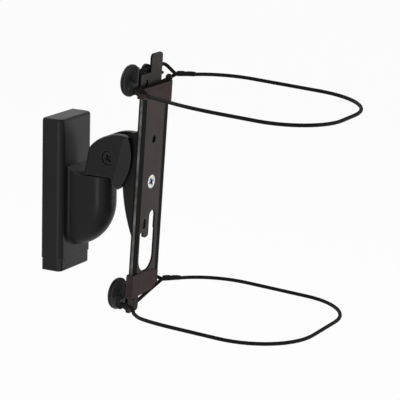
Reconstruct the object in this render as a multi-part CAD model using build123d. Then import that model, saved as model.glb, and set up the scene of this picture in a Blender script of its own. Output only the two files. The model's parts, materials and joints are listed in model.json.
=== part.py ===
from build123d import *
import math
import os

# Speaker wall bracket, millimetres. The wall is the plane y = 0, the bracket stands out towards -Y,
# +Z is up. The origin is the middle of the wall plate's back face.
# Pieces of the tilting head are drawn upright and then leaned about the tilt screw.

# Wall plate and housing
MOUNT_WIDTH = 38.2
MOUNT_HEIGHT = 102.0
MOUNT_DEPTH = 14.7
FOOT_HEIGHT = 8.3
FOOT_INSET = 0.7
FOOT_BREAK = 0.6
PARTING_GAP = 0.6
PARTING_DEPTH = 1.0
HOUSING_EDGE = 4.5
HOUSING_TOP_EDGE = 1.8
HOUSING_WALL = 2.4
BACK_PLATE_THICKNESS = 4.0
BACK_PLATE_HALF = 12.4
DOVETAIL_FLARE = 3.0
SLIDE_CLEARANCE = 0.3
WALL_HOLE_DIAMETER = 5.0
WALL_HOLE_SINK = 9.6
WALL_HOLE_SPACING = 56.0
WALL_HOLE_MIDDLE_Z = 2.0
LOCK_SCREW_DIAMETER = 4.0
LOCK_HEAD_DIAMETER = 7.0
LOCK_HEAD_HEIGHT = 2.4
LOCK_SCREW_LENGTH = 14.0
LOCK_POST_DIAMETER = 8.4
LOCK_SCREW_FROM_FRONT = 5.4
LOCK_HEAD_INSET = 0.2
LOCK_SOCKET_RADIUS = 1.5

# Swivel pouch on the housing
PAN_REACH = 32.5
POUCH_HALF = 11.0
POUCH_TOP = 14.7
POUCH_WALL = 3.0
POUCH_FLOOR = 5.0
POUCH_BEND_Y = -11.5
POUCH_BEND_Z = -3.5
RAMP_LENGTH = 10.0
RAMP_HEIGHT = 4.5
POUCH_TOP_EDGE = 0.8
POUCH_FILLET = 1.5

# Pan bolt stack
RUN_GAP = 0.05
HOLE_GAP = 0.1
THRUST_DISC_DIAMETER = 15.0
THRUST_DISC_THICKNESS = 0.7
PAN_BOLT_DIAMETER = 5.0
PAN_BOLT_GRIP = 8.4
PAN_HEAD_FLATS = 8.0
PAN_HEAD_HEIGHT = 3.5
PAN_WASHER_DIAMETER = 11.0
PAN_WASHER_THICKNESS = 1.0
SPRING_WASHER_RISE = 0.6
SPRING_WASHER_THICKNESS = 0.8

# Knuckle
TILT_Y = -44.3
TILT_Z = 28.1
KNUCKLE_HALF = 10.3
KNUCKLE_RADIUS = 28.0
KNUCKLE_CENTRE_Y = -51.3
KNUCKLE_CENTRE_Z = 16.0
KNUCKLE_EDGE = 2.0
KNUCKLE_FOOT_Y = -25.8
KNUCKLE_BEND_Z = 33.0
KNUCKLE_BEND_RADIUS = 8.0
NOSE_TOP = (-58.3, 42.3)
NOSE_MIDDLE = (-59.8, 28.0)
NOSE_TIP = (-51.2, 8.0)
NOSE_HEEL = (-48.0, 10.2)
NOSE_HEEL_RUN = 1.2
FACET_TOP = (-55.8, 44.0)
FACET_FOOT = (-47.2, 10.0)
FACET_DEPTH = 4.9
FACET_RUN = 16.0
SLOT_HALF = 4.5
SLOT_FLOOR = 17.4
SLOT_BEHIND_HEEL = 2.4
TILT_SCREW_DIAMETER = 5.0
TILT_HEAD_DIAMETER = 9.0
TILT_HEAD_HEIGHT = 2.6
TILT_HEAD_EDGE = 0.8
TILT_RECESS_TURN = 30.0
TILT_HEAD_POCKET = 10.0
TILT_POCKET_DEPTH = 3.2
TILT_NUT_FLATS = 8.0
TILT_NUT_HEIGHT = 3.8
TILT_NUT_SEAT = 6.0
TILT_RECESS_DIAMETER = 4.6
PLATE_RECESS_DIAMETER = 5.2
RECESS_DEPTH = 1.8
TILT_WASHER_DIAMETER = 15.0
TILT_WASHER_THICKNESS = 0.4

# Tilting head
REST_TILT = 2.87
TILT_TO_WEB = 27.45
TILT_ABOVE_SCREW = 12.34
FIN_TIP_FRONT = (-9.0, -40.6)
FIN_TIP = (-10.0, -39.6)
FIN_BOW = (-15.9, -23.3)
FIN_HEEL = (-19.4, -4.5)
FIN_CROWN = (-20.4, 27.6)
FIN_SHOULDER = (-14.6, 30.4)
FIN_NECK = (-9.4, 32.2)
FIN_TOP = 37.5
FIN_RELIEF = -28.5
FIN_EDGE = 0.6
TONGUE_RADIUS = 8.0
TONGUE_GAP = 0.4
PAD_HALF = 11.0
PAD_BOTTOM = -16.5
PAD_CORNER = 2.0
PLATE_SCREW_DIAMETER = 5.0
PLATE_SCREW_HEAD = 9.7
PLATE_SCREW_LENGTH = 14.0
PLATE_SCREW_RIM = 0.4
PLATE_RECESS_TURN = 25.0

# Speaker plate
SHEET = 1.5
PLATE_HALF = 17.2
PLATE_DEPTH = 2.8
PLATE_EDGE = 0.8
WEB_HALF = 11.4
SHOULDER_DROP = 0.5
PLATE_MIDDLE = -2.3
CHANNEL_HALF_LENGTH = 61.5
END_SET_BACK = 4.6
END_HALF = 13.0
END_LENGTH = 12.1
TAB_LENGTH = 11.8
TAB_INNER = 0.5
TAB_CORNER = 2.6
UPPER_HOLE_Z = 28.2
UPPER_HOLE_DIAMETER = 4.9
WINDOW_LEFT = -10.4
WINDOW_RIGHT = 8.4
WINDOW_TOP = -32.7
WINDOW_BOTTOM = -59.8
KEY_SLOT_LEFT = 0.1
KEY_SLOT_TOP = -19.8
KEY_SLOT_INSET = 0.8
FINGER_LEFT = -6.4
FINGER_TIP = -36.8
FINGER_HOLE_X = -5.6
FINGER_HOLE_Z = -27.2
FINGER_HOLE_WIDTH = 4.4
FINGER_HOLE_HEIGHT = 6.8

# Saddles on the speaker plate
UPPER_SADDLE_NEAR = 7.0
UPPER_SADDLE_FAR = 13.5
LOWER_SADDLE_RISE = 4.2
LOWER_SADDLE_DROP = 11.7
LOWER_SADDLE_FAR_X = 14.4
LOWER_SADDLE_FAR_RISE = 1.8
LOWER_SADDLE_FAR_DROP = 6.6
LOWER_SADDLE_CREST = (2.0, 3.8)
LOWER_SADDLE_BELLY = (8.0, -10.2)
SADDLE_WALL = 1.0
SADDLE_FIT = 0.1
SADDLE_LIP = 1.0
SADDLE_LIP_FIT = 0.4
SADDLE_LUG_RISE = 4.0
SADDLE_LUG_BACK = -4.2
SADDLE_LUG_FRONT = 0.4
UPPER_SADDLE_PAST_END = 4.8

# Wire clamps: screw, yoke, knob, wire loop
CLAMP_X = -6.0
UPPER_CLAMP_PAST_END = 5.7
LOWER_CLAMP_PAST_END = 13.7
CLAMP_SCREW_DIAMETER = 6.0
CLAMP_TIP_DIAMETER = 4.6
CLAMP_TIP_SHORT = 0.9
YOKE_THICKNESS = 2.2
YOKE_TRAVEL = 2.5
YOKE_END_GAP = 1.4
HUB_RADIUS = 7.2
YOKE_DISC_RADIUS = 8.6
YOKE_LOBE_X = 1.6
YOKE_LOBE_RISE = 5.4
YOKE_LOBE_RADIUS = 5.4
YOKE_WALL_X = -15.9
YOKE_BELOW_TERMINAL = 2.8
YOKE_HIGH = 2.0
YOKE_FINGER_HIGH = 12.0
YOKE_FINGER_BACK = -7.0
YOKE_FOOT_END = -22.9
YOKE_FOOT_FRONT = -4.9
YOKE_FOOT_CORNER = 2.0
YOKE_HOOK_X = 15.0
YOKE_HOOK_LOW = 1.6
YOKE_HOOK_HIGH = 5.6
YOKE_FOLD = 1.6
HOOK_FRONT = -5.2
HOOK_POINT = 1.4
EYE_BEHIND_PLATE = 0.3
YOKE_BEHIND_EYE = 0.2
KNOB_DIAMETER = 21.0
KNOB_THICKNESS = 4.0
KNOB_HUB_DIAMETER = 12.0
KNOB_CAP_RISE = 0.9
KNOB_BLIND = 1.2
KNOB_EDGE = 0.8
KNOB_BACK_EDGE = 2.6

WIRE = 2.4
EYE_GAP = 0.1
TERMINAL_X = -20.4
TERMINAL_SHANK = 3.8
TERMINAL_FRONT = 0.6
TERMINAL_BUTTON = 4.6
TERMINAL_BUTTON_LENGTH = 1.8
TERMINAL_NECK = 3.0
TERMINAL_EDGE = 0.5
TERMINAL_GROOVE = 0.8
TERMINAL_LEG = 2.6
DIP_RUN = 3.0
EYE_X = 21.4
SLEEVE_LENGTH = 12.5
SLEEVE_WALL = 0.5
SLEEVE_START = 2.0
SLEEVE_TAPER = 4.5
TAIL_IN_SLEEVE = 5.5
LEG_RADIUS = 4.0
EYE_CORNER_RADIUS = 2.6
UPPER_LOOP_HALF = 52.3
LOWER_LOOP_HALF = 58.0
LOOP_REACH = 137.9
LOWER_LOOP_SHORT = 7.1
SHORTEST_RUN = 0.001
SAME = 0.01
BEYOND = 1.0

# Values that follow from the sizes above
HALF_W = MOUNT_WIDTH / 2
HALF_H = MOUNT_HEIGHT / 2
PARTING_Z = FOOT_HEIGHT - HALF_H
PAN_Y = -PAN_REACH
WEB_Y = TILT_Y - TILT_TO_WEB
SCREW_Z = TILT_Z - TILT_ABOVE_SCREW
FIN_HALF = SLOT_HALF - TILT_WASHER_THICKNESS - 2 * RUN_GAP
KNUCKLE_BOTTOM = POUCH_TOP + THRUST_DISC_THICKNESS + 2 * RUN_GAP
LOCK_Y = LOCK_SCREW_FROM_FRONT - MOUNT_DEPTH
CHANNEL_TOP = PLATE_MIDDLE + CHANNEL_HALF_LENGTH
CHANNEL_BOTTOM = PLATE_MIDDLE - CHANNEL_HALF_LENGTH
END_REACH = CHANNEL_HALF_LENGTH + END_LENGTH
TAB_REACH = END_REACH + TAB_LENGTH
END_BACK = -END_SET_BACK - SHEET
EYE_S = END_BACK - EYE_BEHIND_PLATE - WIRE / 2
YOKE_FRONT = EYE_S - WIRE / 2 - YOKE_BEHIND_EYE
YOKE_BACK = YOKE_FRONT - YOKE_THICKNESS
KNOB_FRONT = YOKE_BACK - YOKE_TRAVEL - YOKE_END_GAP
KNOB_BACK = KNOB_FRONT - KNOB_THICKNESS
EYE_RADIUS = HUB_RADIUS + EYE_GAP + WIRE / 2
SADDLE_HALF = PLATE_HALF + SADDLE_FIT + SADDLE_WALL
SADDLE_FRONT = SADDLE_FIT + SADDLE_WALL
TILT_AXIS = Axis((0, TILT_Y, TILT_Z), (1, 0, 0))
TERMINAL_START = YOKE_FOOT_FRONT - YOKE_FOLD - TERMINAL_BUTTON_LENGTH

# Upper and lower loop: height of the clamp screw, half width, reach in front of the plate and how much less
# of it the far side has, the heights over the clamp screw of the loop, the eye, the eye's lower leg, the
# terminal and the dip after it, how far across that leg turns forward, where both sides start to run
# straight out, and the bends from the terminal round to the eye.
LOOPS = {
    "upper": {
        "z": CHANNEL_TOP + UPPER_CLAMP_PAST_END,
        "half": UPPER_LOOP_HALF,
        "reach": LOOP_REACH,
        "far_short": 2.8,
        "rise": 1.3,
        "eye": 2.6,
        "low": -3.0,
        "low_x": 20.0,
        "terminal": -2.6,
        "dip": -3.7,
        "near_flare": 53.4,
        "far_flare": 21.8,
        "bends": (80.0, 38.0, 47.6, 36.0),
    },
    "lower": {
        "z": CHANNEL_BOTTOM - LOWER_CLAMP_PAST_END,
        "half": LOWER_LOOP_HALF,
        "reach": LOOP_REACH - LOWER_LOOP_SHORT,
        "far_short": 3.8,
        "rise": 4.8,
        "eye": 6.8,
        "low": -2.4,
        "low_x": 19.0,
        "terminal": -2.2,
        "dip": -4.9,
        "near_flare": 31.3,
        "far_flare": 20.0,
        "bends": (43.4, 43.3, 38.6, 42.0),
    },
}


def head_plane(s):
    """Plane parallel to the speaker plate, s in front of its web; x across, y up from its screw."""
    return Plane(origin=(0, WEB_Y - s, SCREW_Z), x_dir=(1, 0, 0), z_dir=(0, -1, 0))


def slab(outline, front, back):
    """Solid of an outline drawn on the speaker plate, between two distances from the web."""
    return extrude(head_plane(back) * outline, amount=front - back)


def bar(x0, x1, z0, z1):
    """Rectangle on the speaker plate's plane."""
    return Pos((x0 + x1) / 2, (z0 + z1) / 2) * Rectangle(x1 - x0, z1 - z0)


def block(x0, x1, y0, y1, z0, z1):
    """Box between two corners."""
    return Pos((x0 + x1) / 2, (y0 + y1) / 2, (z0 + z1) / 2) * Box(x1 - x0, y1 - y0, z1 - z0)


def side(outline, half):
    """Solid of an outline drawn in y and z, as wide as half on each side of the middle."""
    return extrude(Plane.YZ * outline, amount=half, both=True)


def upright(radius, y, z0, z1, x=0):
    """Standing cylinder."""
    return Pos(x, y, (z0 + z1) / 2) * Cylinder(radius, z1 - z0)


def crosswise(radius, x0, x1):
    """Cylinder on the tilt axis."""
    return Pos((x0 + x1) / 2, TILT_Y, TILT_Z) * Rot(0, 90, 0) * Cylinder(radius, x1 - x0)


def outward(radius, x, z, front, back):
    """Cylinder square to the speaker plate."""
    return slab(Pos(x, z) * Circle(radius), front, back)


def lean(shape):
    """The head's resting lean about the tilt screw."""
    return shape.rotate(TILT_AXIS, REST_TILT)


def write(name, shape):
    """One STEP file for each piece."""
    export_step(shape, f"parts/{name}.step")


def bent_wire(points, radii):
    """Path of straight runs joined by tangent arcs, one radius for each inner point."""
    points = [Vector(*p) for p in points]
    edges = []
    start = points[0]
    for before, corner, after, radius in zip(points, points[1:], points[2:], radii):
        inward = (corner - before).normalized()
        onward = (after - corner).normalized()
        half_turn = math.radians(inward.get_angle(onward)) / 2
        trim = radius * math.tan(half_turn)
        leave = corner - inward * trim
        join = corner + onward * trim
        centre_way = (onward - inward).normalized()
        middle = corner + centre_way * (radius / math.cos(half_turn) - radius)
        if (leave - start).length > SHORTEST_RUN:
            edges.append(Line(start, leave))
        edges.append(ThreePointArc(leave, middle, join))
        start = join
    edges.append(Line(start, points[-1]))
    return Wire(edges)


def wall_plate():
    """Plate screwed to the wall: dovetailed back and the foot that shows under the housing."""
    wide = BACK_PLATE_HALF + DOVETAIL_FLARE
    section = Polygon(
        (-BACK_PLATE_HALF, 0),
        (BACK_PLATE_HALF, 0),
        (wide, -BACK_PLATE_THICKNESS),
        (-wide, -BACK_PLATE_THICKNESS),
        align=None,
    )
    top = HALF_H - HOUSING_WALL - SLIDE_CLEARANCE
    back = extrude(Pos(0, 0, -HALF_H) * section, amount=top + HALF_H, dir=(0, 0, 1))
    half = HALF_W - FOOT_INSET
    foot = block(-half, half, FOOT_INSET - MOUNT_DEPTH, 0, -HALF_H, PARTING_Z - PARTING_GAP)
    upright_edges = foot.edges().filter_by(Axis.Z).group_by(Axis.Y)[0]
    foot = fillet(upright_edges, HOUSING_EDGE - FOOT_INSET)
    foot = chamfer(foot.faces().sort_by(Axis.Z)[0].edges().filter_by(lambda e: e.center().Y < -SAME), FOOT_BREAK)
    core = half - PARTING_DEPTH
    foot += block(-core, core, FOOT_INSET + PARTING_DEPTH - MOUNT_DEPTH, 0, -HALF_H + FOOT_BREAK, PARTING_Z)
    plate = back + foot
    for z in wall_hole_heights():
        hole = Pos(0, -BACK_PLATE_THICKNESS, z) * Rot(90, 0, 0) * CounterSinkHole(
            WALL_HOLE_DIAMETER / 2, WALL_HOLE_SINK / 2, 3 * BACK_PLATE_THICKNESS)
        plate -= hole
    plate -= upright(LOCK_SCREW_DIAMETER / 2 + HOLE_GAP, LOCK_Y, -HALF_H, PARTING_Z)
    plate -= upright(LOCK_HEAD_DIAMETER / 2 + HOLE_GAP, LOCK_Y, -HALF_H, -HALF_H + LOCK_HEAD_HEIGHT)
    return plate


def wall_hole_heights():
    """Heights of the two wall screw holes."""
    return (WALL_HOLE_MIDDLE_Z + WALL_HOLE_SPACING / 2, WALL_HOLE_MIDDLE_Z - WALL_HOLE_SPACING / 2)


def pouch(half, top, start_y):
    """Rounded pouch: straight sides, half round front, and a quarter round underside."""
    front = Pos(0, PAN_Y) * Circle(half)
    upper_plan = front + Pos(0, (start_y + PAN_Y) / 2) * Rectangle(2 * half, start_y - PAN_Y)
    lower_plan = front + Pos(0, (POUCH_BEND_Y + PAN_Y) / 2) * Rectangle(2 * half, POUCH_BEND_Y - PAN_Y)
    upper = extrude(Pos(0, 0, POUCH_BEND_Z) * upper_plan, amount=top - POUCH_BEND_Z)
    bend_axis = Axis((0, POUCH_BEND_Y, POUCH_BEND_Z), (1, 0, 0))
    lower = revolve(Pos(0, 0, POUCH_BEND_Z) * lower_plan, axis=bend_axis, revolution_arc=90)
    return upper + lower


def ramp():
    """Hollow curve that rises from the pouch's top to the housing's front."""
    radius = (RAMP_LENGTH ** 2 + RAMP_HEIGHT ** 2) / (2 * RAMP_HEIGHT)
    foot = (-MOUNT_DEPTH - RAMP_LENGTH, POUCH_TOP)
    top = (-MOUNT_DEPTH, POUCH_TOP + RAMP_HEIGHT)
    half_angle = math.asin(RAMP_LENGTH / radius) / 2
    middle = (foot[0] + radius * math.sin(half_angle), foot[1] + radius * (1 - math.cos(half_angle)))
    behind = HOUSING_WALL / 2 - MOUNT_DEPTH
    deep = POUCH_TOP - POUCH_FLOOR / 2
    outline = Polyline(top, (behind, top[1]), (behind, deep), (foot[0], deep), foot)
    curve = ThreePointArc(foot, middle, top)
    return side(make_face([*outline.edges(), curve]), POUCH_HALF)


def housing():
    """Shell that slides down over the wall plate and carries the swivel pouch."""
    outer = block(-HALF_W, HALF_W, -MOUNT_DEPTH, 0, PARTING_Z, HALF_H)
    outer = fillet(outer.edges().filter_by(Axis.Z).group_by(Axis.Y)[0], HOUSING_EDGE)
    rim = outer.faces().sort_by(Axis.Z)[-1].edges().filter_by(lambda e: e.center().Y < -SAME)
    outer = fillet(rim, HOUSING_TOP_EDGE)
    boss = pouch(POUCH_HALF, POUCH_TOP, -MOUNT_DEPTH + HOUSING_WALL / 2)
    lip = boss.faces().sort_by(Axis.Z)[-1].edges().filter_by(lambda e: e.center().Y < -MOUNT_DEPTH)
    boss = fillet(lip, POUCH_TOP_EDGE)
    shell = outer + boss + ramp()
    inner_half = HALF_W - HOUSING_WALL
    roof = HALF_H - HOUSING_WALL
    shell -= block(-inner_half, inner_half, HOUSING_WALL - MOUNT_DEPTH, 0, PARTING_Z, roof)
    shell -= pouch(POUCH_HALF - POUCH_WALL, POUCH_TOP - POUCH_FLOOR, -HOUSING_WALL)
    narrow = BACK_PLATE_HALF + SLIDE_CLEARANCE
    for hand in (-1, 1):
        lip_section = Polygon(
            (hand * inner_half, 0),
            (hand * narrow, 0),
            (hand * (narrow + DOVETAIL_FLARE), -BACK_PLATE_THICKNESS),
            (hand * inner_half, -BACK_PLATE_THICKNESS),
            align=None,
        )
        shell += extrude(Pos(0, 0, PARTING_Z) * lip_section, amount=roof - PARTING_Z, dir=(0, 0, 1))
    post_top = PARTING_Z + LOCK_SCREW_LENGTH
    shell += upright(LOCK_POST_DIAMETER / 2, LOCK_Y, PARTING_Z, post_top)
    shell -= upright(LOCK_SCREW_DIAMETER / 2, LOCK_Y, PARTING_Z, post_top - HOUSING_WALL)
    shell -= upright(PAN_BOLT_DIAMETER / 2 + HOLE_GAP, PAN_Y, POUCH_TOP - POUCH_FLOOR, POUCH_TOP)
    return fillet(pouch_root(shell), POUCH_FILLET)


def pouch_root(shell):
    """Edges where the pouch and its ramp grow out of the housing's front."""
    ramp_top = POUCH_TOP + RAMP_HEIGHT
    return shell.edges().filter_by(
        lambda e: abs(e.center().X) < POUCH_HALF + SAME
        and PARTING_Z + SAME < e.center().Z < ramp_top + SAME
        and all(abs(v.Y + MOUNT_DEPTH) < SAME for v in e.vertices()))


def lock_screw():
    """Screw up through the foot that keeps the housing on the wall plate."""
    head_top = -HALF_H + LOCK_HEAD_HEIGHT
    tip = head_top + LOCK_SCREW_LENGTH
    screw = upright(LOCK_HEAD_DIAMETER / 2, LOCK_Y, -HALF_H + LOCK_HEAD_INSET, head_top)
    screw += upright(LOCK_SCREW_DIAMETER / 2, LOCK_Y, head_top, tip)
    socket = extrude(RegularPolygon(LOCK_SOCKET_RADIUS, 6), amount=RECESS_DEPTH)
    screw -= Pos(0, LOCK_Y, -HALF_H + LOCK_HEAD_INSET) * socket
    return screw


def pan_pieces():
    """Bolt under the pouch's floor with its washers, and the disc that the knuckle turns on."""
    bolt_radius = PAN_BOLT_DIAMETER / 2
    bore = bolt_radius + HOLE_GAP
    disc_bottom = POUCH_TOP + RUN_GAP
    disc = upright(THRUST_DISC_DIAMETER / 2, PAN_Y, POUCH_TOP, disc_bottom + THRUST_DISC_THICKNESS)
    disc -= upright(bore, PAN_Y, POUCH_TOP, disc_bottom + THRUST_DISC_THICKNESS)
    washer_top = POUCH_TOP - POUCH_FLOOR - RUN_GAP
    washer_bottom = washer_top - PAN_WASHER_THICKNESS
    washer = upright(PAN_WASHER_DIAMETER / 2, PAN_Y, washer_bottom, washer_top)
    washer -= upright(bore, PAN_Y, washer_bottom, washer_top)
    spring_outer = PAN_WASHER_DIAMETER / 2
    spring_section = Polygon(
        (bore, -SPRING_WASHER_RISE),
        (spring_outer, 0),
        (spring_outer, -SPRING_WASHER_THICKNESS),
        (bore, -SPRING_WASHER_RISE - SPRING_WASHER_THICKNESS),
        align=None,
    )
    spring = Pos(0, PAN_Y, washer_bottom) * revolve(Plane.XZ * spring_section, axis=Axis.Z)
    head_top = washer_bottom - SPRING_WASHER_RISE - SPRING_WASHER_THICKNESS
    hexagon = RegularPolygon(PAN_HEAD_FLATS / 2, 6, major_radius=False)
    head_bottom = head_top - PAN_HEAD_HEIGHT
    bolt = Pos(0, PAN_Y, head_bottom) * extrude(hexagon, amount=PAN_HEAD_HEIGHT)
    bolt += upright(bolt_radius, PAN_Y, head_top, KNUCKLE_BOTTOM + PAN_BOLT_GRIP)
    return {"pan_thrust_disc": disc, "pan_washer": washer, "pan_spring_washer": spring, "pan_bolt": bolt}


def knuckle_outline():
    """Side view of the knuckle: leaning back, round crown, bowed nose that hangs in front of the pouch."""
    bend_angle = math.asin((KNUCKLE_BEND_Z - KNUCKLE_CENTRE_Z) / KNUCKLE_RADIUS)
    reach = NOSE_TOP[0] - KNUCKLE_CENTRE_Y
    crown_angle = math.acos(reach / KNUCKLE_RADIUS)

    def rim(angle):
        return (
            KNUCKLE_CENTRE_Y + KNUCKLE_RADIUS * math.cos(angle),
            KNUCKLE_CENTRE_Z + KNUCKLE_RADIUS * math.sin(angle),
        )

    crown = ThreePointArc(rim(bend_angle), rim((bend_angle + crown_angle) / 2), rim(crown_angle))
    nose = ThreePointArc(rim(crown_angle), NOSE_MIDDLE, NOSE_TIP)
    heel_top = (NOSE_HEEL[0] + NOSE_HEEL_RUN, KNUCKLE_BOTTOM)
    under = Polyline(NOSE_TIP, NOSE_HEEL, heel_top, (KNUCKLE_FOOT_Y, KNUCKLE_BOTTOM), rim(bend_angle))
    outline = make_face([crown, nose, *under.edges()])
    bend = outline.vertices().sort_by_distance((*rim(bend_angle), 0))[0]
    return fillet(bend, KNUCKLE_BEND_RADIUS)


def facet():
    """Wedge cut off the near cheek along the straight crease in front of the tilt screw."""
    foot = Vector(-KNUCKLE_HALF, *FACET_FOOT)
    along = (Vector(-KNUCKLE_HALF, *FACET_TOP) - foot).normalized()
    ahead = Vector(1, 0, 0).cross(along)
    wedge = Polygon((0, 0), (0, -KNUCKLE_HALF), (FACET_RUN, -KNUCKLE_HALF), (FACET_RUN, FACET_DEPTH), align=None)
    below = Plane(origin=foot - along * KNUCKLE_RADIUS, x_dir=ahead, z_dir=along)
    return extrude(below * wedge, amount=4 * KNUCKLE_RADIUS, dir=along)


def knuckle():
    """Swivel block: a clevis that turns on the pouch and clamps the head's fin between its cheeks."""
    body = side(knuckle_outline(), KNUCKLE_HALF)
    back_edges = body.edges().filter_by(
        lambda e: abs(abs(e.center().X) - KNUCKLE_HALF) < SAME
        and e.center().Y > NOSE_TOP[0] + SAME
        and e.center().Z > KNUCKLE_BOTTOM + SAME)
    body = fillet(back_edges, KNUCKLE_EDGE)
    front_y = NOSE_MIDDLE[0] - KNUCKLE_HALF
    near_facet = facet()
    body -= near_facet
    body -= mirror(near_facet, about=Plane.YZ)
    pocket = Pos(TILT_Y, TILT_Z) * Circle(TONGUE_RADIUS + TONGUE_GAP)
    high_z = KNUCKLE_CENTRE_Z + 2 * KNUCKLE_RADIUS
    gap = pocket + bar(front_y, TILT_Y, SLOT_FLOOR, TILT_Z)
    gap += bar(front_y, TILT_Y + TONGUE_RADIUS / 2, TILT_Z, high_z)
    gap += bar(front_y, NOSE_HEEL[0] + SLOT_BEHIND_HEEL, 0, SLOT_FLOOR)
    body -= side(gap, SLOT_HALF)
    body -= crosswise(TILT_SCREW_DIAMETER / 2, -KNUCKLE_HALF, KNUCKLE_HALF)
    body -= crosswise(TILT_HEAD_POCKET / 2, -KNUCKLE_HALF, TILT_POCKET_DEPTH - KNUCKLE_HALF)
    nut_room = RegularPolygon(TILT_NUT_FLATS / 2 + RUN_GAP, 6, major_radius=False)
    nut_plane = Plane(origin=(TILT_NUT_SEAT, TILT_Y, TILT_Z), x_dir=(0, 1, 0), z_dir=(1, 0, 0))
    body -= extrude(nut_plane * nut_room, amount=KNUCKLE_HALF)
    body -= upright(PAN_BOLT_DIAMETER / 2, PAN_Y, KNUCKLE_BOTTOM, KNUCKLE_BOTTOM + PAN_BOLT_GRIP)
    return body


def cross_recess(diameter):
    """Cross shaped driver recess, drawn flat."""
    arm = diameter / 4
    return Rectangle(diameter, arm) + Rectangle(arm, diameter)


def tilt_pieces():
    """Tilt screw through both cheeks, its nut, and the friction washers beside the fin."""
    seat = TILT_POCKET_DEPTH - KNUCKLE_HALF
    nut_end = TILT_NUT_SEAT + TILT_NUT_HEIGHT
    radius = TILT_SCREW_DIAMETER / 2
    screw = crosswise(radius, seat, nut_end)
    head = crosswise(TILT_HEAD_DIAMETER / 2, seat - TILT_HEAD_HEIGHT, seat)
    head = fillet(head.faces().sort_by(Axis.X)[0].edges(), TILT_HEAD_EDGE)
    drive = Plane(origin=(seat - TILT_HEAD_HEIGHT, TILT_Y, TILT_Z), x_dir=(0, 0, 1), z_dir=(1, 0, 0))
    recess = Rot(0, 0, TILT_RECESS_TURN) * cross_recess(TILT_RECESS_DIAMETER)
    screw = screw + head - extrude(drive * recess, amount=RECESS_DEPTH)
    hexagon = RegularPolygon(TILT_NUT_FLATS / 2, 6, major_radius=False)
    nut_plane = Plane(origin=(TILT_NUT_SEAT, TILT_Y, TILT_Z), x_dir=(0, 1, 0), z_dir=(1, 0, 0))
    nut = extrude(nut_plane * hexagon, amount=TILT_NUT_HEIGHT)
    nut -= crosswise(radius, TILT_NUT_SEAT, nut_end)
    washers = []
    for hand in (-1, 1):
        near = hand * (FIN_HALF + RUN_GAP)
        far = hand * (SLOT_HALF - RUN_GAP)
        ring = crosswise(TILT_WASHER_DIAMETER / 2, min(near, far), max(near, far))
        ring -= crosswise(radius + HOLE_GAP, -KNUCKLE_HALF, KNUCKLE_HALF)
        washers.append(ring)
    return {"tilt_screw": screw, "tilt_nut": nut, "tilt_washers": Compound(children=washers)}


def fin_outline():
    """Side view of the fin: a bow behind the speaker plate and the tongue round the tilt screw."""
    def spot(s, z):
        return (WEB_Y - s, SCREW_Z + z)

    seat = -SHEET
    pad_back = -END_SET_BACK
    bow = ThreePointArc(spot(*FIN_TIP), spot(*FIN_BOW), spot(*FIN_HEEL))
    corner = TONGUE_RADIUS * math.sqrt(0.5)
    back = Polyline(
        spot(*FIN_HEEL),
        (TILT_Y - corner, TILT_Z - corner),
        (TILT_Y, TILT_Z),
        (TILT_Y, TILT_Z + TONGUE_RADIUS),
        spot(*FIN_CROWN),
        spot(*FIN_SHOULDER),
    )
    shoulder = ThreePointArc(spot(*FIN_SHOULDER), spot(*FIN_NECK), spot(pad_back, FIN_TOP))
    front = Polyline(
        spot(pad_back, FIN_TOP),
        spot(seat, FIN_TOP),
        spot(seat, PAD_BOTTOM),
        spot(pad_back, PAD_BOTTOM),
        spot(pad_back, FIN_RELIEF),
        spot(*FIN_TIP_FRONT),
        spot(*FIN_TIP),
    )
    blade = make_face([bow, *back.edges(), shoulder, *front.edges()])
    return blade + Pos(TILT_Y, TILT_Z) * Circle(TONGUE_RADIUS)


def screw_cone(clearance):
    """Countersunk head of the screw that holds the speaker plate, flush with its web."""
    head = PLATE_SCREW_HEAD / 2 + clearance
    shank = PLATE_SCREW_DIAMETER / 2 + clearance
    neck = shank - head - PLATE_SCREW_RIM
    section = Polygon((0, 0), (head, 0), (head, -PLATE_SCREW_RIM), (shank, neck), (0, neck), align=None)
    solid = revolve(Plane.XZ * section, axis=Axis.Z)
    return Plane(origin=(0, WEB_Y, SCREW_Z), x_dir=(1, 0, 0), z_dir=(0, -1, 0)) * solid


def tilt_head():
    """Cast head: tongue and bowed fin, with the pad that fills the speaker plate's channel."""
    fin = side(fin_outline(), FIN_HALF)
    bow_edges = fin.edges().filter_by(
        lambda e: e.geom_type == GeomType.CIRCLE and e.center().Z < TILT_Z - 2 * TONGUE_RADIUS)
    fin = chamfer(bow_edges, FIN_EDGE)
    pad = slab(bar(-PAD_HALF, PAD_HALF, PAD_BOTTOM, FIN_TOP), -SHEET, -END_SET_BACK)
    pad = fillet(pad.edges().filter_by(Axis.Y), PAD_CORNER)
    head = fin + pad
    head -= crosswise(TILT_SCREW_DIAMETER / 2 + HOLE_GAP, -KNUCKLE_HALF, KNUCKLE_HALF)
    head -= screw_cone(0)
    head -= outward(PLATE_SCREW_DIAMETER / 2, 0, 0, 0, -PLATE_SCREW_LENGTH - BEYOND)
    return head


def plate_screw():
    """Bright countersunk screw in the middle of the speaker plate."""
    screw = screw_cone(0) + outward(PLATE_SCREW_DIAMETER / 2, 0, 0, -SHEET, -PLATE_SCREW_LENGTH)
    recess = Rot(0, 0, PLATE_RECESS_TURN) * cross_recess(PLATE_RECESS_DIAMETER)
    return screw - extrude(head_plane(0) * recess, amount=-RECESS_DEPTH)


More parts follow.
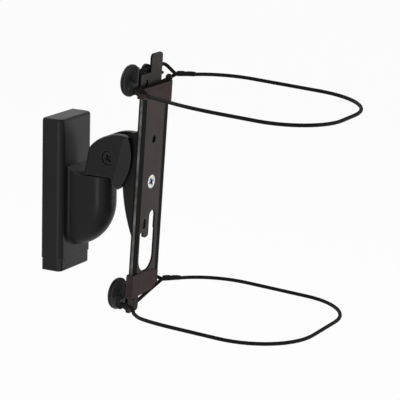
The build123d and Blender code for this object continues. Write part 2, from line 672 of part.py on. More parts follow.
def channel_section():
    """Cross section of the speaker plate: flat web, slightly dropped shoulders, short flanges."""
    shoulder = -SHOULDER_DROP
    inner = PLATE_HALF - SHEET
    right_side = [
        (WEB_HALF, 0), (PLATE_HALF, shoulder), (PLATE_HALF, -PLATE_DEPTH), (inner, -PLATE_DEPTH),
        (inner, shoulder - SHEET), (WEB_HALF, -SHEET),
    ]
    left_side = [(-x, s) for x, s in reversed(right_side)]
    section = make_face(Polyline(*right_side, *left_side, close=True))
    outer = section.vertices().filter_by(
        lambda v: abs(abs(v.X) - PLATE_HALF) < SAME and abs(v.Y - shoulder) < SAME)
    return fillet(outer, PLATE_EDGE)


def plate_window():
    """Key slot, wide window and hanging finger that are cut in the web."""
    half = (WINDOW_RIGHT - WINDOW_LEFT) / 2
    middle = (WINDOW_RIGHT + WINDOW_LEFT) / 2
    window = bar(WINDOW_LEFT, WINDOW_RIGHT, WINDOW_BOTTOM + half, WINDOW_TOP)
    window += Pos(middle, WINDOW_BOTTOM + half) * Circle(half)
    key_half = (WINDOW_RIGHT - KEY_SLOT_INSET - KEY_SLOT_LEFT) / 2
    key_middle = KEY_SLOT_LEFT + key_half
    key = bar(KEY_SLOT_LEFT, KEY_SLOT_LEFT + 2 * key_half, WINDOW_TOP - BEYOND, KEY_SLOT_TOP - key_half)
    key += Pos(key_middle, KEY_SLOT_TOP - key_half) * Circle(key_half)
    tip_half = (KEY_SLOT_LEFT - FINGER_LEFT) / 2
    finger = bar(FINGER_LEFT, KEY_SLOT_LEFT, FINGER_TIP + tip_half / 2, WINDOW_TOP + BEYOND)
    finger += Pos(FINGER_LEFT + tip_half, FINGER_TIP + tip_half / 2) * Ellipse(tip_half, tip_half / 2)
    hole = Pos(FINGER_HOLE_X, FINGER_HOLE_Z) * Ellipse(FINGER_HOLE_WIDTH / 2, FINGER_HOLE_HEIGHT / 2)
    return window + key - finger, hole


def plate_end(way, tab_left, tab_right):
    """Set back end of the plate with its offset tab; way is 1 at the top and -1 at the bottom."""
    def up(reach):
        return PLATE_MIDDLE + way * reach

    def span(x0, x1, a, b):
        return bar(x0, x1, min(up(a), up(b)), max(up(a), up(b)))

    outline = span(-END_HALF, END_HALF, CHANNEL_HALF_LENGTH - SHEET, END_REACH)
    tab = span(tab_left, tab_right, END_REACH - 2 * TAB_CORNER, TAB_REACH)
    tips = tab.vertices().sort_by(Axis.Y)
    tab = fillet(tips[-2:] if way > 0 else tips[:2], TAB_CORNER)
    end = slab(outline + tab, -END_SET_BACK, END_BACK)
    step = slab(span(-END_HALF, END_HALF, CHANNEL_HALF_LENGTH - SHEET, CHANNEL_HALF_LENGTH), 0, END_BACK)
    return end + step


def speaker_plate():
    """Pressed plate: shallow channel, set back ends, tabs, slot, and holes."""
    section_plane = Plane(
        origin=(0, WEB_Y, SCREW_Z + PLATE_MIDDLE - CHANNEL_HALF_LENGTH), x_dir=(-1, 0, 0), z_dir=(0, 0, 1))
    plate = extrude(section_plane * channel_section(), amount=2 * CHANNEL_HALF_LENGTH)
    plate += plate_end(1, -TAB_INNER, END_HALF)
    plate += plate_end(-1, -END_HALF, TAB_INNER)
    window, finger_hole = plate_window()
    plate -= slab(window, BEYOND, -SHEET - BEYOND)
    plate -= slab(finger_hole, BEYOND, -SHEET - BEYOND)
    plate -= outward(UPPER_HOLE_DIAMETER / 2, 0, UPPER_HOLE_Z, BEYOND, -SHEET - BEYOND)
    plate -= screw_cone(0)
    for loop in LOOPS.values():
        plate -= outward(CLAMP_TIP_DIAMETER / 2 + HOLE_GAP, CLAMP_X, loop["z"], 0, END_BACK - BEYOND)
    return plate


def saddle(top, near_height, far_height):
    """Clip that hugs the channel near its upper end."""
    bottom = top - far_height
    near_bottom = top - near_height
    inner = PLATE_HALF + SADDLE_FIT
    back = -PLATE_DEPTH - SADDLE_FIT
    lip_back = back - SADDLE_LIP
    lip_inner = END_HALF + SADDLE_LIP_FIT
    clip = slab(bar(-SADDLE_HALF, SADDLE_HALF, bottom, top), SADDLE_FRONT, lip_back)
    front_edges = clip.edges().filter_by(Axis.Z).group_by(Axis.Y)[0]
    clip = fillet(front_edges, SADDLE_WALL)
    clip -= slab(bar(-inner, inner, bottom, top), SADDLE_FIT, back)
    clip -= slab(bar(-lip_inner, lip_inner, bottom, top), SADDLE_FIT, lip_back)
    below = Polygon(
        (-SADDLE_HALF, bottom), (SADDLE_HALF, bottom), (-SADDLE_HALF, near_bottom), align=None)
    if near_bottom > bottom:
        clip -= slab(below, SADDLE_FRONT + BEYOND, lip_back - BEYOND)
    return clip


def saddle_lug(top):
    """Round eared lug that stands up from the far side of a clip."""
    lug_half = (SADDLE_LUG_FRONT - SADDLE_LUG_BACK) / 2
    lug_middle = WEB_Y - (SADDLE_LUG_FRONT + SADDLE_LUG_BACK) / 2
    lug_z = SCREW_Z + top + SADDLE_LUG_RISE - lug_half
    lug = Pos(lug_middle, lug_z) * Circle(lug_half)
    lug += bar(lug_middle - lug_half, lug_middle + lug_half, SCREW_Z + top - BEYOND, lug_z)
    ear_plane = Plane(origin=(PLATE_HALF + SADDLE_FIT, 0, 0), x_dir=(0, 1, 0), z_dir=(1, 0, 0))
    return extrude(ear_plane * lug, amount=SADDLE_WALL)


def lower_saddle():
    """Clip over the channel's lower end: it hugs the near flange and bears on the set back end's far edge."""
    top = CHANNEL_BOTTOM + LOWER_SADDLE_RISE
    bottom = CHANNEL_BOTTOM - LOWER_SADDLE_DROP
    far_bottom = CHANNEL_BOTTOM - LOWER_SADDLE_FAR_DROP
    outline = Polygon(
        (-SADDLE_HALF, bottom),
        (LOWER_SADDLE_BELLY[0], CHANNEL_BOTTOM + LOWER_SADDLE_BELLY[1]),
        (LOWER_SADDLE_FAR_X, far_bottom),
        (LOWER_SADDLE_FAR_X, CHANNEL_BOTTOM + LOWER_SADDLE_FAR_RISE),
        (LOWER_SADDLE_CREST[0], CHANNEL_BOTTOM + LOWER_SADDLE_CREST[1]),
        (-SADDLE_HALF, top),
        align=None,
    )
    inner = PLATE_HALF + SADDLE_FIT
    back = -PLATE_DEPTH - SADDLE_FIT
    lip_back = back - SADDLE_LIP
    clip = slab(outline, SADDLE_FRONT, lip_back)
    near_edge = clip.edges().filter_by(Axis.Z).group_by(Axis.X)[0].sort_by(Axis.Y)[0]
    clip = fillet(near_edge, SADDLE_WALL)
    clip -= slab(bar(-inner, LOWER_SADDLE_FAR_X, bottom, top), SADDLE_FIT, back)
    clip -= slab(bar(-END_HALF - SADDLE_LIP_FIT, LOWER_SADDLE_FAR_X, bottom, top), SADDLE_FIT, lip_back)
    rib = bar(END_HALF + SADDLE_FIT, LOWER_SADDLE_FAR_X, far_bottom, CHANNEL_BOTTOM - SADDLE_FIT)
    return clip + slab(rib, SADDLE_FRONT, END_BACK)


def yoke(z, terminal_drop):
    """Plate that rides on the clamp screw and pulls both ends of the wire back."""
    low = z + terminal_drop - YOKE_BELOW_TERMINAL
    wall_end = YOKE_WALL_X - YOKE_FOLD
    disc = Pos(CLAMP_X, z) * Circle(YOKE_DISC_RADIUS)
    disc += Pos(YOKE_LOBE_X, z + YOKE_LOBE_RISE) * Circle(YOKE_LOBE_RADIUS)
    arm = bar(wall_end, CLAMP_X, low, z + YOKE_HIGH)
    hook_end = YOKE_HOOK_X + YOKE_FOLD
    reach = bar(CLAMP_X, hook_end, z + YOKE_HOOK_LOW, z + YOKE_HOOK_HIGH)
    plate = slab(disc + arm + reach, YOKE_FRONT, YOKE_BACK)
    hub_front = EYE_S + WIRE / 2
    plate += outward(HUB_RADIUS, CLAMP_X, z, hub_front, YOKE_FRONT)
    wall = bar(wall_end, YOKE_WALL_X, low, z + YOKE_HIGH)
    plate += slab(wall, YOKE_FOOT_FRONT, YOKE_BACK)
    finger = bar(wall_end, YOKE_WALL_X, low, z + YOKE_FINGER_HIGH)
    plate += slab(finger, YOKE_FOOT_FRONT, YOKE_FINGER_BACK)
    foot = bar(YOKE_FOOT_END, YOKE_WALL_X, low, z + YOKE_HIGH)
    foot = fillet(foot.vertices().group_by(Axis.X)[0], YOKE_FOOT_CORNER)
    plate += slab(foot, YOKE_FOOT_FRONT, YOKE_FOOT_FRONT - YOKE_FOLD)
    middle = z + (YOKE_HOOK_LOW + YOKE_HOOK_HIGH) / 2
    root = YOKE_FRONT - YOKE_THICKNESS / 2
    tooth = Polygon(
        (WEB_Y - root, SCREW_Z + z + YOKE_HOOK_LOW),
        (WEB_Y - root, SCREW_Z + z + YOKE_HOOK_HIGH),
        (WEB_Y - HOOK_FRONT, SCREW_Z + middle + HOOK_POINT / 2),
        (WEB_Y - HOOK_FRONT, SCREW_Z + middle - HOOK_POINT / 2),
        align=None,
    )
    hook_plane = Plane(origin=(YOKE_HOOK_X, 0, 0), x_dir=(0, 1, 0), z_dir=(1, 0, 0))
    plate += extrude(hook_plane * tooth, amount=YOKE_FOLD, dir=(1, 0, 0))
    plate -= outward(CLAMP_SCREW_DIAMETER / 2 + RUN_GAP, CLAMP_X, z, hub_front, YOKE_BACK)
    plate -= outward(TERMINAL_SHANK / 2 + HOLE_GAP, TERMINAL_X, z + terminal_drop, 0, YOKE_FRONT)
    return plate


def clamp_screw(z):
    """Screw fixed in the knob; its pilot tip turns in the plate's hole."""
    shoulder = END_BACK - RUN_GAP
    screw = outward(CLAMP_SCREW_DIAMETER / 2, CLAMP_X, z, shoulder, KNOB_BACK + KNOB_BLIND)
    tip = outward(CLAMP_TIP_DIAMETER / 2, CLAMP_X, z, -END_SET_BACK - CLAMP_TIP_SHORT, shoulder)
    return screw + tip


def knob(z):
    """Round thumb knob."""
    disc = outward(KNOB_DIAMETER / 2, CLAMP_X, z, KNOB_FRONT, KNOB_BACK)
    disc = fillet(disc.edges().filter_by(GeomType.CIRCLE).sort_by(Axis.Y)[0], KNOB_EDGE)
    disc = fillet(disc.edges().filter_by(GeomType.CIRCLE).sort_by(Axis.Y)[-1], KNOB_BACK_EDGE)
    cap = outward(KNOB_HUB_DIAMETER / 2, CLAMP_X, z, KNOB_BACK + BEYOND, KNOB_BACK - KNOB_CAP_RISE)
    cap = fillet(cap.edges().sort_by(Axis.Y)[-1:], KNOB_CAP_RISE * 3 / 4)
    return disc + cap - outward(CLAMP_SCREW_DIAMETER / 2, CLAMP_X, z, KNOB_FRONT, KNOB_BACK + KNOB_BLIND)


def head_point(x, s, z):
    """Point given across, in front of the web, and up from the middle screw."""
    return Vector(x, WEB_Y - s, SCREW_Z + z)


def loop_points(loop):
    """Corner points of one wire: terminal, speaker loop, eye round the yoke's hub, tail."""
    z = loop["z"]
    level = z + loop["rise"]
    half = loop["half"]
    reach = loop["reach"]
    eye = head_point(EYE_X, WIRE / 2, z + loop["eye"])
    flare = head_point(half, loop["far_flare"], level)
    onward = (flare - eye).normalized()
    behind = Vector(0, 0, 1).cross(onward).normalized()
    tail = eye + onward * SLEEVE_START + behind * (WIRE + EYE_GAP)
    round_x = CLAMP_X - EYE_RADIUS
    leg_reach = loop["low_x"] - CLAMP_X
    low = loop["low"]
    terminal_z = z + loop["terminal"]
    leg_angle = math.atan2(low, leg_reach) - math.acos(EYE_RADIUS / math.hypot(leg_reach, low))
    under = EYE_RADIUS * math.tan((math.pi + leg_angle) / 2)
    points = [
        head_point(TERMINAL_X, TERMINAL_START, terminal_z),
        head_point(TERMINAL_X, TERMINAL_FRONT + TERMINAL_LEG, terminal_z),
        head_point(TERMINAL_X - DIP_RUN, TERMINAL_FRONT + TERMINAL_LEG + DIP_RUN, z + loop["dip"]),
        head_point(-half, loop["near_flare"], level),
        head_point(-half, reach, level),
        head_point(half, reach - loop["far_short"], level),
        flare,
        eye,
        head_point(EYE_X, EYE_S, z + EYE_RADIUS),
        head_point(round_x, EYE_S, z + EYE_RADIUS),
        head_point(round_x, EYE_S, z - under),
        head_point(loop["low_x"], EYE_S, z + low),
        tail,
        tail + onward * TAIL_IN_SLEEVE,
    ]
    radii = [
        LEG_RADIUS, LEG_RADIUS, *loop["bends"], EYE_CORNER_RADIUS, EYE_CORNER_RADIUS, EYE_RADIUS, EYE_RADIUS,
        EYE_CORNER_RADIUS, EYE_CORNER_RADIUS,
    ]
    return points, radii, eye, onward, behind


def wire_terminal(z):
    """Swaged end of the wire: button behind the yoke's foot, grooved shank through it."""
    shank = TERMINAL_SHANK / 2
    button = TERMINAL_BUTTON / 2
    neck = TERMINAL_NECK / 2
    length = TERMINAL_FRONT - TERMINAL_START
    edge = TERMINAL_EDGE
    foot = TERMINAL_BUTTON_LENGTH
    groove = length - 4 * TERMINAL_GROOVE
    section = Polygon(
        (0, 0), (button - edge, 0), (button, edge), (button, foot - edge), (shank, foot),
        (shank, groove), (neck, groove + edge), (neck, groove + TERMINAL_GROOVE),
        (shank, groove + TERMINAL_GROOVE + edge), (shank, length - edge), (neck, length), (0, length),
        align=None,
    )
    base = Plane(origin=head_point(TERMINAL_X, TERMINAL_START, z), x_dir=(1, 0, 0), z_dir=(0, -1, 0))
    terminal = base * revolve(Plane.XZ * section, axis=Axis.Z)
    return terminal - outward(WIRE / 2, TERMINAL_X, z, TERMINAL_FRONT, TERMINAL_START)


def wire_pieces(loop):
    """Wire loop with its swaged terminal and the sleeve that closes the eye."""
    points, radii, eye, onward, behind = loop_points(loop)
    path = bent_wire(points, radii)
    start = Plane(origin=points[0], z_dir=points[1] - points[0])
    wire = sweep(start * Circle(WIRE / 2), path=path)
    height = WIRE + 2 * SLEEVE_WALL
    pair = WIRE + EYE_GAP
    mouth_plane = Plane(origin=eye + onward * SLEEVE_START, x_dir=behind, z_dir=onward)
    straight = SLEEVE_LENGTH - SLEEVE_TAPER
    oval = Pos(pair / 2, 0) * SlotOverall(pair + height, height)
    barrel = Circle(height / 2)
    body = extrude(mouth_plane * oval, amount=straight)
    cone = loft([mouth_plane * Pos(pair / 2, 0, straight) * SlotOverall(pair + height, height).face(),
                 mouth_plane * Pos(0, 0, SLEEVE_LENGTH) * barrel.face()])
    return wire, wire_terminal(loop["z"] + loop["terminal"]), body + cone - wire


def main():
    os.makedirs("parts", exist_ok=True)
    write("wall_plate", wall_plate())
    write("housing", housing())
    write("lock_screw", lock_screw())
    for name, piece in pan_pieces().items():
        write(name, piece)
    write("knuckle", knuckle())
    for name, piece in tilt_pieces().items():
        write(name, piece)
    write("tilt_head", lean(tilt_head()))
    write("plate_screw", lean(plate_screw()))
    write("speaker_plate", lean(speaker_plate()))
    upper_top = CHANNEL_TOP + UPPER_SADDLE_PAST_END
    upper_saddle = saddle(upper_top, UPPER_SADDLE_NEAR, UPPER_SADDLE_FAR)
    write("upper_saddle", lean(upper_saddle + saddle_lug(upper_top)))
    write("lower_saddle", lean(lower_saddle()))
    for level, loop in LOOPS.items():
        wire, terminal, sleeve = wire_pieces(loop)
        write(f"{level}_yoke", lean(yoke(loop["z"], loop["terminal"])))
        write(f"{level}_clamp_screw", lean(clamp_screw(loop["z"])))
        write(f"{level}_knob", lean(knob(loop["z"])))
        write(f"{level}_wire_loop", lean(wire))
        write(f"{level}_wire_terminal", lean(terminal))
        write(f"{level}_crimp_sleeve", lean(sleeve))


main()
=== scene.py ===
# %% [markdown]
# # Speaker wall bracket
# This lesson dresses a wall bracket for a small speaker: a moulded housing on the wall, a pan and tilt
# knuckle, a pressed steel plate, and two wire loops that thumb knobs draw tight round the speaker.
# The engineering model is loaded first as a fixed frame. Each piece here is made where the frame says,
# and rides on the frame's body, so that it still fits when the joints move.

# %% Load the frame
import json
import math

import bpy
from mathutils import Matrix, Vector


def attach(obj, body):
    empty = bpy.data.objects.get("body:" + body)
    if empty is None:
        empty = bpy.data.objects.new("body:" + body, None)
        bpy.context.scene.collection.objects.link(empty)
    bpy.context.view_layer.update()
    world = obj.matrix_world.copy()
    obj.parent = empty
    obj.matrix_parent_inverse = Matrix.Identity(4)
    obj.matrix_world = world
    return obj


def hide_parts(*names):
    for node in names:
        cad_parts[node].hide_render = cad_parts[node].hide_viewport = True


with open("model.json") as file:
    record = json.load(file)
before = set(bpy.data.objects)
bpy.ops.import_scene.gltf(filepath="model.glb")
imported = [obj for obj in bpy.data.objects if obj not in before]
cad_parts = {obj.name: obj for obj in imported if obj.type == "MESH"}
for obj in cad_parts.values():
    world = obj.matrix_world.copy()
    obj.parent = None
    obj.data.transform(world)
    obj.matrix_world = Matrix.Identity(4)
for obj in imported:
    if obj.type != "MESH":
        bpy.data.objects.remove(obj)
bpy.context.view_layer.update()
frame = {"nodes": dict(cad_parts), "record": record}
print("nodes in the frame:", len(frame["nodes"]))

# %% [markdown]
# ## Working by hand, in code
# Blender's operators act on whatever is selected, so each step first selects one object and nothing
# else. These short helpers do that, and they pick faces and corners by where they are.

# %% Helpers for selecting and editing
MM = 0.001
TOUCH = 0.002 * MM
NORMAL_WEIGHT = 50


def pick(piece):
    """Makes one object the only selected one, and the active one."""
    bpy.ops.object.select_all(action="DESELECT")
    piece.select_set(True)
    bpy.context.view_layer.objects.active = piece


def edit(piece):
    """Opens one object in edit mode with nothing selected."""
    pick(piece)
    bpy.ops.object.mode_set(mode="EDIT")
    bpy.ops.mesh.select_all(action="DESELECT")


def leave_edit():
    bpy.ops.object.mode_set(mode="OBJECT")


def select_corners(piece, wanted):
    """Selects the vertices that a rule accepts, while the object is in edit mode."""
    leave_edit()
    for vertex in piece.data.vertices:
        vertex.select = wanted(vertex.co)
    bpy.ops.object.mode_set(mode="EDIT")
    bpy.ops.mesh.select_mode(type="VERT")


def modify(piece, kind, **settings):
    """Adds one modifier and applies it."""
    pick(piece)
    step = piece.modifiers.new(kind.lower(), kind)
    for name, value in settings.items():
        setattr(step, name, value)
    bpy.ops.object.modifier_apply(modifier=step.name)


def face_outward(piece):
    """Merges doubled corners and turns every face outward."""
    edit(piece)
    bpy.ops.mesh.select_all(action="SELECT")
    bpy.ops.mesh.remove_doubles(threshold=TOUCH)
    bpy.ops.mesh.normals_make_consistent(inside=False)
    leave_edit()


def shade(piece, crease_deg):
    """Smooth shading with creases, where large flat faces keep their own normal."""
    pick(piece)
    bpy.ops.object.shade_smooth_by_angle(angle=math.radians(crease_deg))
    modify(piece, "WEIGHTED_NORMAL", keep_sharp=True, weight=NORMAL_WEIGHT)


print("helpers ready")

# %% [markdown]
# ## Finishes
# Every finish is made from nodes that read Object coordinates, so the grain has a real size in metres
# and stays put when a joint moves. A flat colour never looks like a real surface: each finish has fine
# grain in its bump, and a slow change of tone and gloss over the piece.

# %% Node helpers
NOISE_LOW, NOISE_HIGH = 0.3, 0.7
BEVEL_SAMPLES = 4
EDGE_TURNED, EDGE_TRUE = 0.88, 0.995
FINISHES = {}


class Finish:
    """A Principled material with its texture coordinates ready."""

    def __init__(self, name):
        self.material = bpy.data.materials.new(name)
        self.material.use_nodes = True
        self.nodes = self.material.node_tree.nodes
        self.links = self.material.node_tree.links
        self.shader = self.nodes["Principled BSDF"]
        self.place = self.nodes.new("ShaderNodeTexCoord").outputs["Object"]

    def node(self, kind, **values):
        """New node with its inputs or settings filled in."""
        made = self.nodes.new(kind)
        for name, value in values.items():
            if name in made.inputs:
                made.inputs[name].default_value = value
            else:
                setattr(made, name, value)
        return made

    def link(self, source, target):
        self.links.new(source, target)

    def within(self, matrix):
        """Coordinates that lie along another frame, through a Mapping node."""
        back = matrix.inverted()
        mapping = self.node("ShaderNodeMapping", Location=back.to_translation(), Rotation=back.to_euler())
        self.link(self.place, mapping.inputs["Vector"])
        return mapping.outputs["Vector"]

    def axes(self, matrix):
        """The x, y and z of coordinates that lie along another frame."""
        split = self.node("ShaderNodeSeparateXYZ")
        self.link(self.within(matrix), split.inputs["Vector"])
        return [split.outputs[name] for name in "XYZ"]

    def noise(self, size_mm, detail):
        """Cloudy texture with patches of one size."""
        texture = self.node("ShaderNodeTexNoise", Scale=1 / (size_mm * MM), Detail=detail)
        self.link(self.place, texture.inputs["Vector"])
        return texture.outputs["Fac"]

    def pebbles(self, size_mm):
        """Soft round cells of one size."""
        texture = self.node("ShaderNodeTexVoronoi", Scale=1 / (size_mm * MM))
        texture.feature = "SMOOTH_F1"
        self.link(self.place, texture.inputs["Vector"])
        return texture.outputs["Distance"]

    def spread(self, source, low, high, bottom=NOISE_LOW, top=NOISE_HIGH):
        """Maps a texture to a range of numbers."""
        made = self.node("ShaderNodeMapRange")
        for socket, value in zip(("From Min", "From Max", "To Min", "To Max"), (bottom, top, low, high)):
            made.inputs[socket].default_value = value
        self.link(source, made.inputs["Value"])
        return made.outputs["Result"]

    def tones(self, source, dark, light):
        """Maps a texture to a range of colours."""
        ramp = self.node("ShaderNodeValToRGB")
        ramp.color_ramp.elements[0].position = NOISE_LOW
        ramp.color_ramp.elements[1].position = NOISE_HIGH
        ramp.color_ramp.elements[0].color = (*dark, 1)
        ramp.color_ramp.elements[1].color = (*light, 1)
        self.link(source, ramp.inputs["Fac"])
        return ramp.outputs["Color"]

    def times(self, first, second):
        """Product of two masks."""
        made = self.node("ShaderNodeMath", operation="MULTIPLY")
        self.link(first, made.inputs[0])
        self.link(second, made.inputs[1])
        return made.outputs["Value"]

    def length(self, x, y):
        """Distance from an axis, from the two coordinates across it."""
        flat = self.node("ShaderNodeCombineXYZ")
        self.link(x, flat.inputs["X"])
        self.link(y, flat.inputs["Y"])
        made = self.node("ShaderNodeVectorMath", operation="LENGTH")
        self.link(flat.outputs["Vector"], made.inputs[0])
        return made.outputs["Value"]

    def over(self, mask, under, upper):
        """Lays one colour over another where a mask is one."""
        mix = self.node("ShaderNodeMix", data_type="RGBA")
        self.link(mask, mix.inputs["Factor"])
        self.link(under, mix.inputs[6])
        self.link(upper, mix.inputs[7])
        return mix.outputs[2]

    def edges(self, reach_mm):
        """One beside an edge or corner, where a rounded normal leaves the true one."""
        rounded = self.node("ShaderNodeBevel", Radius=reach_mm * MM, samples=BEVEL_SAMPLES)
        true = self.node("ShaderNodeNewGeometry")
        agree = self.node("ShaderNodeVectorMath", operation="DOT_PRODUCT")
        self.link(rounded.outputs["Normal"], agree.inputs[0])
        self.link(true.outputs["Normal"], agree.inputs[1])
        return self.spread(agree.outputs["Value"], 1, 0, EDGE_TURNED, EDGE_TRUE)

    def bump(self, height, depth_mm, strength):
        """Raises the surface by a texture, without moving it."""
        made = self.node("ShaderNodeBump", Strength=strength, Distance=depth_mm * MM)
        self.link(height, made.inputs["Height"])
        self.link(made.outputs["Normal"], self.shader.inputs["Normal"])

    def coat(self, slot, colour, roughness, **sockets):
        """Puts textures and constant values on the shader, and keeps the finish for one slot."""
        self.link(colour, self.shader.inputs["Base Color"])
        self.link(roughness, self.shader.inputs["Roughness"])
        for name, value in sockets.items():
            self.shader.inputs[name.replace("_", " ")].default_value = value
        FINISHES[slot] = self.material
        print(f"{slot}: {self.material.name}, {len(self.nodes)} nodes")


print("node helpers ready")

# %% [markdown]
# ## Charcoal plastic
# The housing, the foot and the knuckle are moulded in charcoal plastic with a fine spark-eroded grain.
# A small noise makes the grain in the bump, and a large one lets the tone and gloss drift a little.
# The edges and creases are painted lighter, as a painted highlight along them: the Bevel node finds them.

# %% Charcoal plastic
def charcoal_plastic(slot):
    finish = Finish("charcoal_plastic")
    drift = finish.noise(size_mm=24, detail=4)
    finish.bump(finish.noise(size_mm=0.35, detail=2), depth_mm=0.03, strength=0.35)
    plain = finish.tones(drift, (0.0125, 0.0119, 0.0122), (0.0155, 0.0147, 0.0146))
    # painted highlight: a lighter colour laid along edges and creases, where light would catch them
    painted_edge_highlight = finish.tones(drift, (0.060, 0.056, 0.055), (0.078, 0.073, 0.071))
    patchy = finish.spread(finish.noise(size_mm=9, detail=4), 0.45, 1.0)
    edge_highlight_mask = finish.times(finish.edges(reach_mm=0.9), patchy)
    colour = finish.over(edge_highlight_mask, plain, painted_edge_highlight)
    finish.coat(slot, colour, finish.spread(drift, 0.34, 0.42), Specular_IOR_Level=0.105)


charcoal_plastic("body_plastic")

# %% [markdown]
# ## Painted steel
# The plate is pressed steel under a warm dark grey coat. Its raised web is painted lighter than the
# shoulders beside it, as painted light, while the shoulders, flanges, cut edges and holes are painted
# near black as painted shade. The set-back upper end is painted lit, the lower end is painted in shade,
# and a painted highlight runs down the corner of the near flange. Coordinates that lean with the plate
# give clean steps across, along and into it, and their products mark out each of these. Sprayed paint
# has an orange peel skin: a soft bump. The fin and the yokes are steel too, under a plain satin black coat.

# %% Painted steel
REST_TILT = math.radians(2.87)
TILT_PIN = Vector((0, -44.3, 28.1)) * MM
WEB_Y = -71.75 * MM
SCREW_Z = 15.76 * MM
WEB_HALF = 11.4 * MM
PLATE_HALF = 17.2 * MM
CHANNEL_TOP = 59.2 * MM
CHANNEL_BOTTOM = -63.8 * MM
END_SET_BACK = 4.6 * MM
SKIN = 0.3 * MM
END_GAP = 3 * SKIN
FLANGE_HIGHLIGHT_WIDTH = 0.7 * MM
HEAD = Matrix.Translation(TILT_PIN) @ Matrix.Rotation(REST_TILT, 4, "X") @ Matrix.Translation(-TILT_PIN)


def on_plate(x_mm, z_mm):
    """Matrix that stands the z axis on the speaker plate's web, across x and up z from its screw."""
    spot = Matrix.Translation((x_mm * MM, WEB_Y, SCREW_Z + z_mm * MM))
    return HEAD @ spot @ Matrix.Rotation(math.radians(90), 4, "X")


def plate_coat(slot):
    finish = Finish("plate_coat")
    x, y, z = finish.axes(HEAD)
    across = finish.node("ShaderNodeMath", operation="ABSOLUTE")
    finish.link(x, across.inputs[0])
    across = across.outputs["Value"]

    def below(source, limit, blend=SKIN):
        return finish.spread(source, 1, 0, limit, limit + blend)

    def above(source, limit):
        return finish.spread(source, 0, 1, limit - SKIN, limit)

    top, bottom = SCREW_Z + CHANNEL_TOP, SCREW_Z + CHANNEL_BOTTOM
    channel = finish.times(below(z, top), above(z, bottom))
    web_face = finish.times(finish.times(channel, below(across, WEB_HALF)), below(y, WEB_Y + SKIN))
    upper_end = finish.times(above(z, top + END_GAP), below(y, WEB_Y + END_SET_BACK + SKIN))
    lower_end = finish.times(below(z, bottom - END_GAP), below(y, WEB_Y + END_SET_BACK + SKIN))
    # painted highlight: a light strip laid down the corner of the near flange
    corner = finish.times(
        below(x, FLANGE_HIGHLIGHT_WIDTH / 2 - PLATE_HALF, FLANGE_HIGHLIGHT_WIDTH / 2), below(y, WEB_Y + 2 * FLANGE_HIGHLIGHT_WIDTH, FLANGE_HIGHLIGHT_WIDTH))
    painted_flange_highlight = finish.times(corner, finish.spread(finish.noise(size_mm=6, detail=4), 0.35, 1.0))

    drift = finish.noise(size_mm=18, detail=4)
    # painted shade: this near black base paints the shoulders, flanges, edges and holes
    colour = finish.tones(drift, (0.0042, 0.0042, 0.0044), (0.0066, 0.0064, 0.0064))
    # painted light: the web and upper end are painted lit copies, the lower end a shaded copy
    for area, dark, light in (
        (web_face, (0.047, 0.0402, 0.0363), (0.0585, 0.0498, 0.0454)),
        (upper_end, (0.042, 0.0375, 0.0350), (0.052, 0.0460, 0.0430)),
        (lower_end, (0.026, 0.0235, 0.0225), (0.033, 0.0295, 0.0285)),
        (painted_flange_highlight, (0.150, 0.140, 0.132), (0.200, 0.188, 0.178)),
    ):
        colour = finish.over(area, colour, finish.tones(drift, dark, light))
    finish.bump(finish.noise(size_mm=1.1, detail=2), depth_mm=0.03, strength=0.3)
    finish.coat(slot, colour, finish.spread(drift, 0.56, 0.66), Specular_IOR_Level=0.02)


def satin_black(slot):
    finish = Finish("satin_black")
    drift = finish.noise(size_mm=14, detail=4)
    finish.bump(finish.noise(size_mm=0.9, detail=2), depth_mm=0.03, strength=0.3)
    colour = finish.tones(drift, (0.0100, 0.0098, 0.0100), (0.0150, 0.0145, 0.0145))
    finish.coat(slot, colour, finish.spread(drift, 0.48, 0.60), Specular_IOR_Level=0.10)


plate_coat("plate_coat")
satin_black("head_coat")

# %% [markdown]
# ## Saddle plastic, knob plastic and wire
# The saddles are moulded with a pebble texture, made here from soft Voronoi cells under a millimetre
# wide, and their edges are painted lighter as a painted highlight. The knobs are smoother: their rim is
# painted near black as painted shade and their face much lighter as painted light. The wire has a tight,
# dull vinyl skin.

# %% Saddle, knob and wire
KNOB_FACE_FROM, KNOB_FACE_TO = -15.6 * MM, -15.35 * MM


def saddle_plastic(slot):
    finish = Finish("saddle_plastic")
    drift = finish.noise(size_mm=6, detail=4)
    finish.bump(finish.pebbles(size_mm=0.7), depth_mm=0.06, strength=0.5)
    plain = finish.tones(drift, (0.0350, 0.0255, 0.0232), (0.0470, 0.0345, 0.0320))
    # painted highlight: the edges are painted lighter than the pebbled plastic
    painted_edge_highlight = finish.tones(drift, (0.045, 0.036, 0.033), (0.058, 0.047, 0.043))
    patchy = finish.spread(finish.noise(size_mm=4, detail=4), 0.2, 0.8)
    edge_highlight_mask = finish.times(finish.edges(reach_mm=0.4), patchy)
    colour = finish.over(edge_highlight_mask, plain, painted_edge_highlight)
    finish.coat(slot, colour, finish.spread(drift, 0.60, 0.72), Specular_IOR_Level=0.03)


def knob_plastic(slot):
    finish = Finish("knob_plastic")
    depth = finish.axes(on_plate(0, 0))[2]
    face = finish.spread(depth, 0, 1, KNOB_FACE_FROM, KNOB_FACE_TO)
    drift = finish.noise(size_mm=8, detail=3)
    finish.bump(finish.noise(size_mm=0.3, detail=2), depth_mm=0.015, strength=0.3)
    # painted shade and painted light: one plastic in a near black shaded copy on the rim
    rim = finish.tones(drift, (0.0085, 0.0083, 0.0086), (0.0125, 0.0120, 0.0125))
    # and a much lighter lit copy on the face
    painted_lit_face = finish.tones(drift, (0.066, 0.063, 0.064), (0.088, 0.083, 0.084))
    colour = finish.over(face, rim, painted_lit_face)
    finish.coat(slot, colour, finish.spread(drift, 0.42, 0.54), Specular_IOR_Level=0.10)


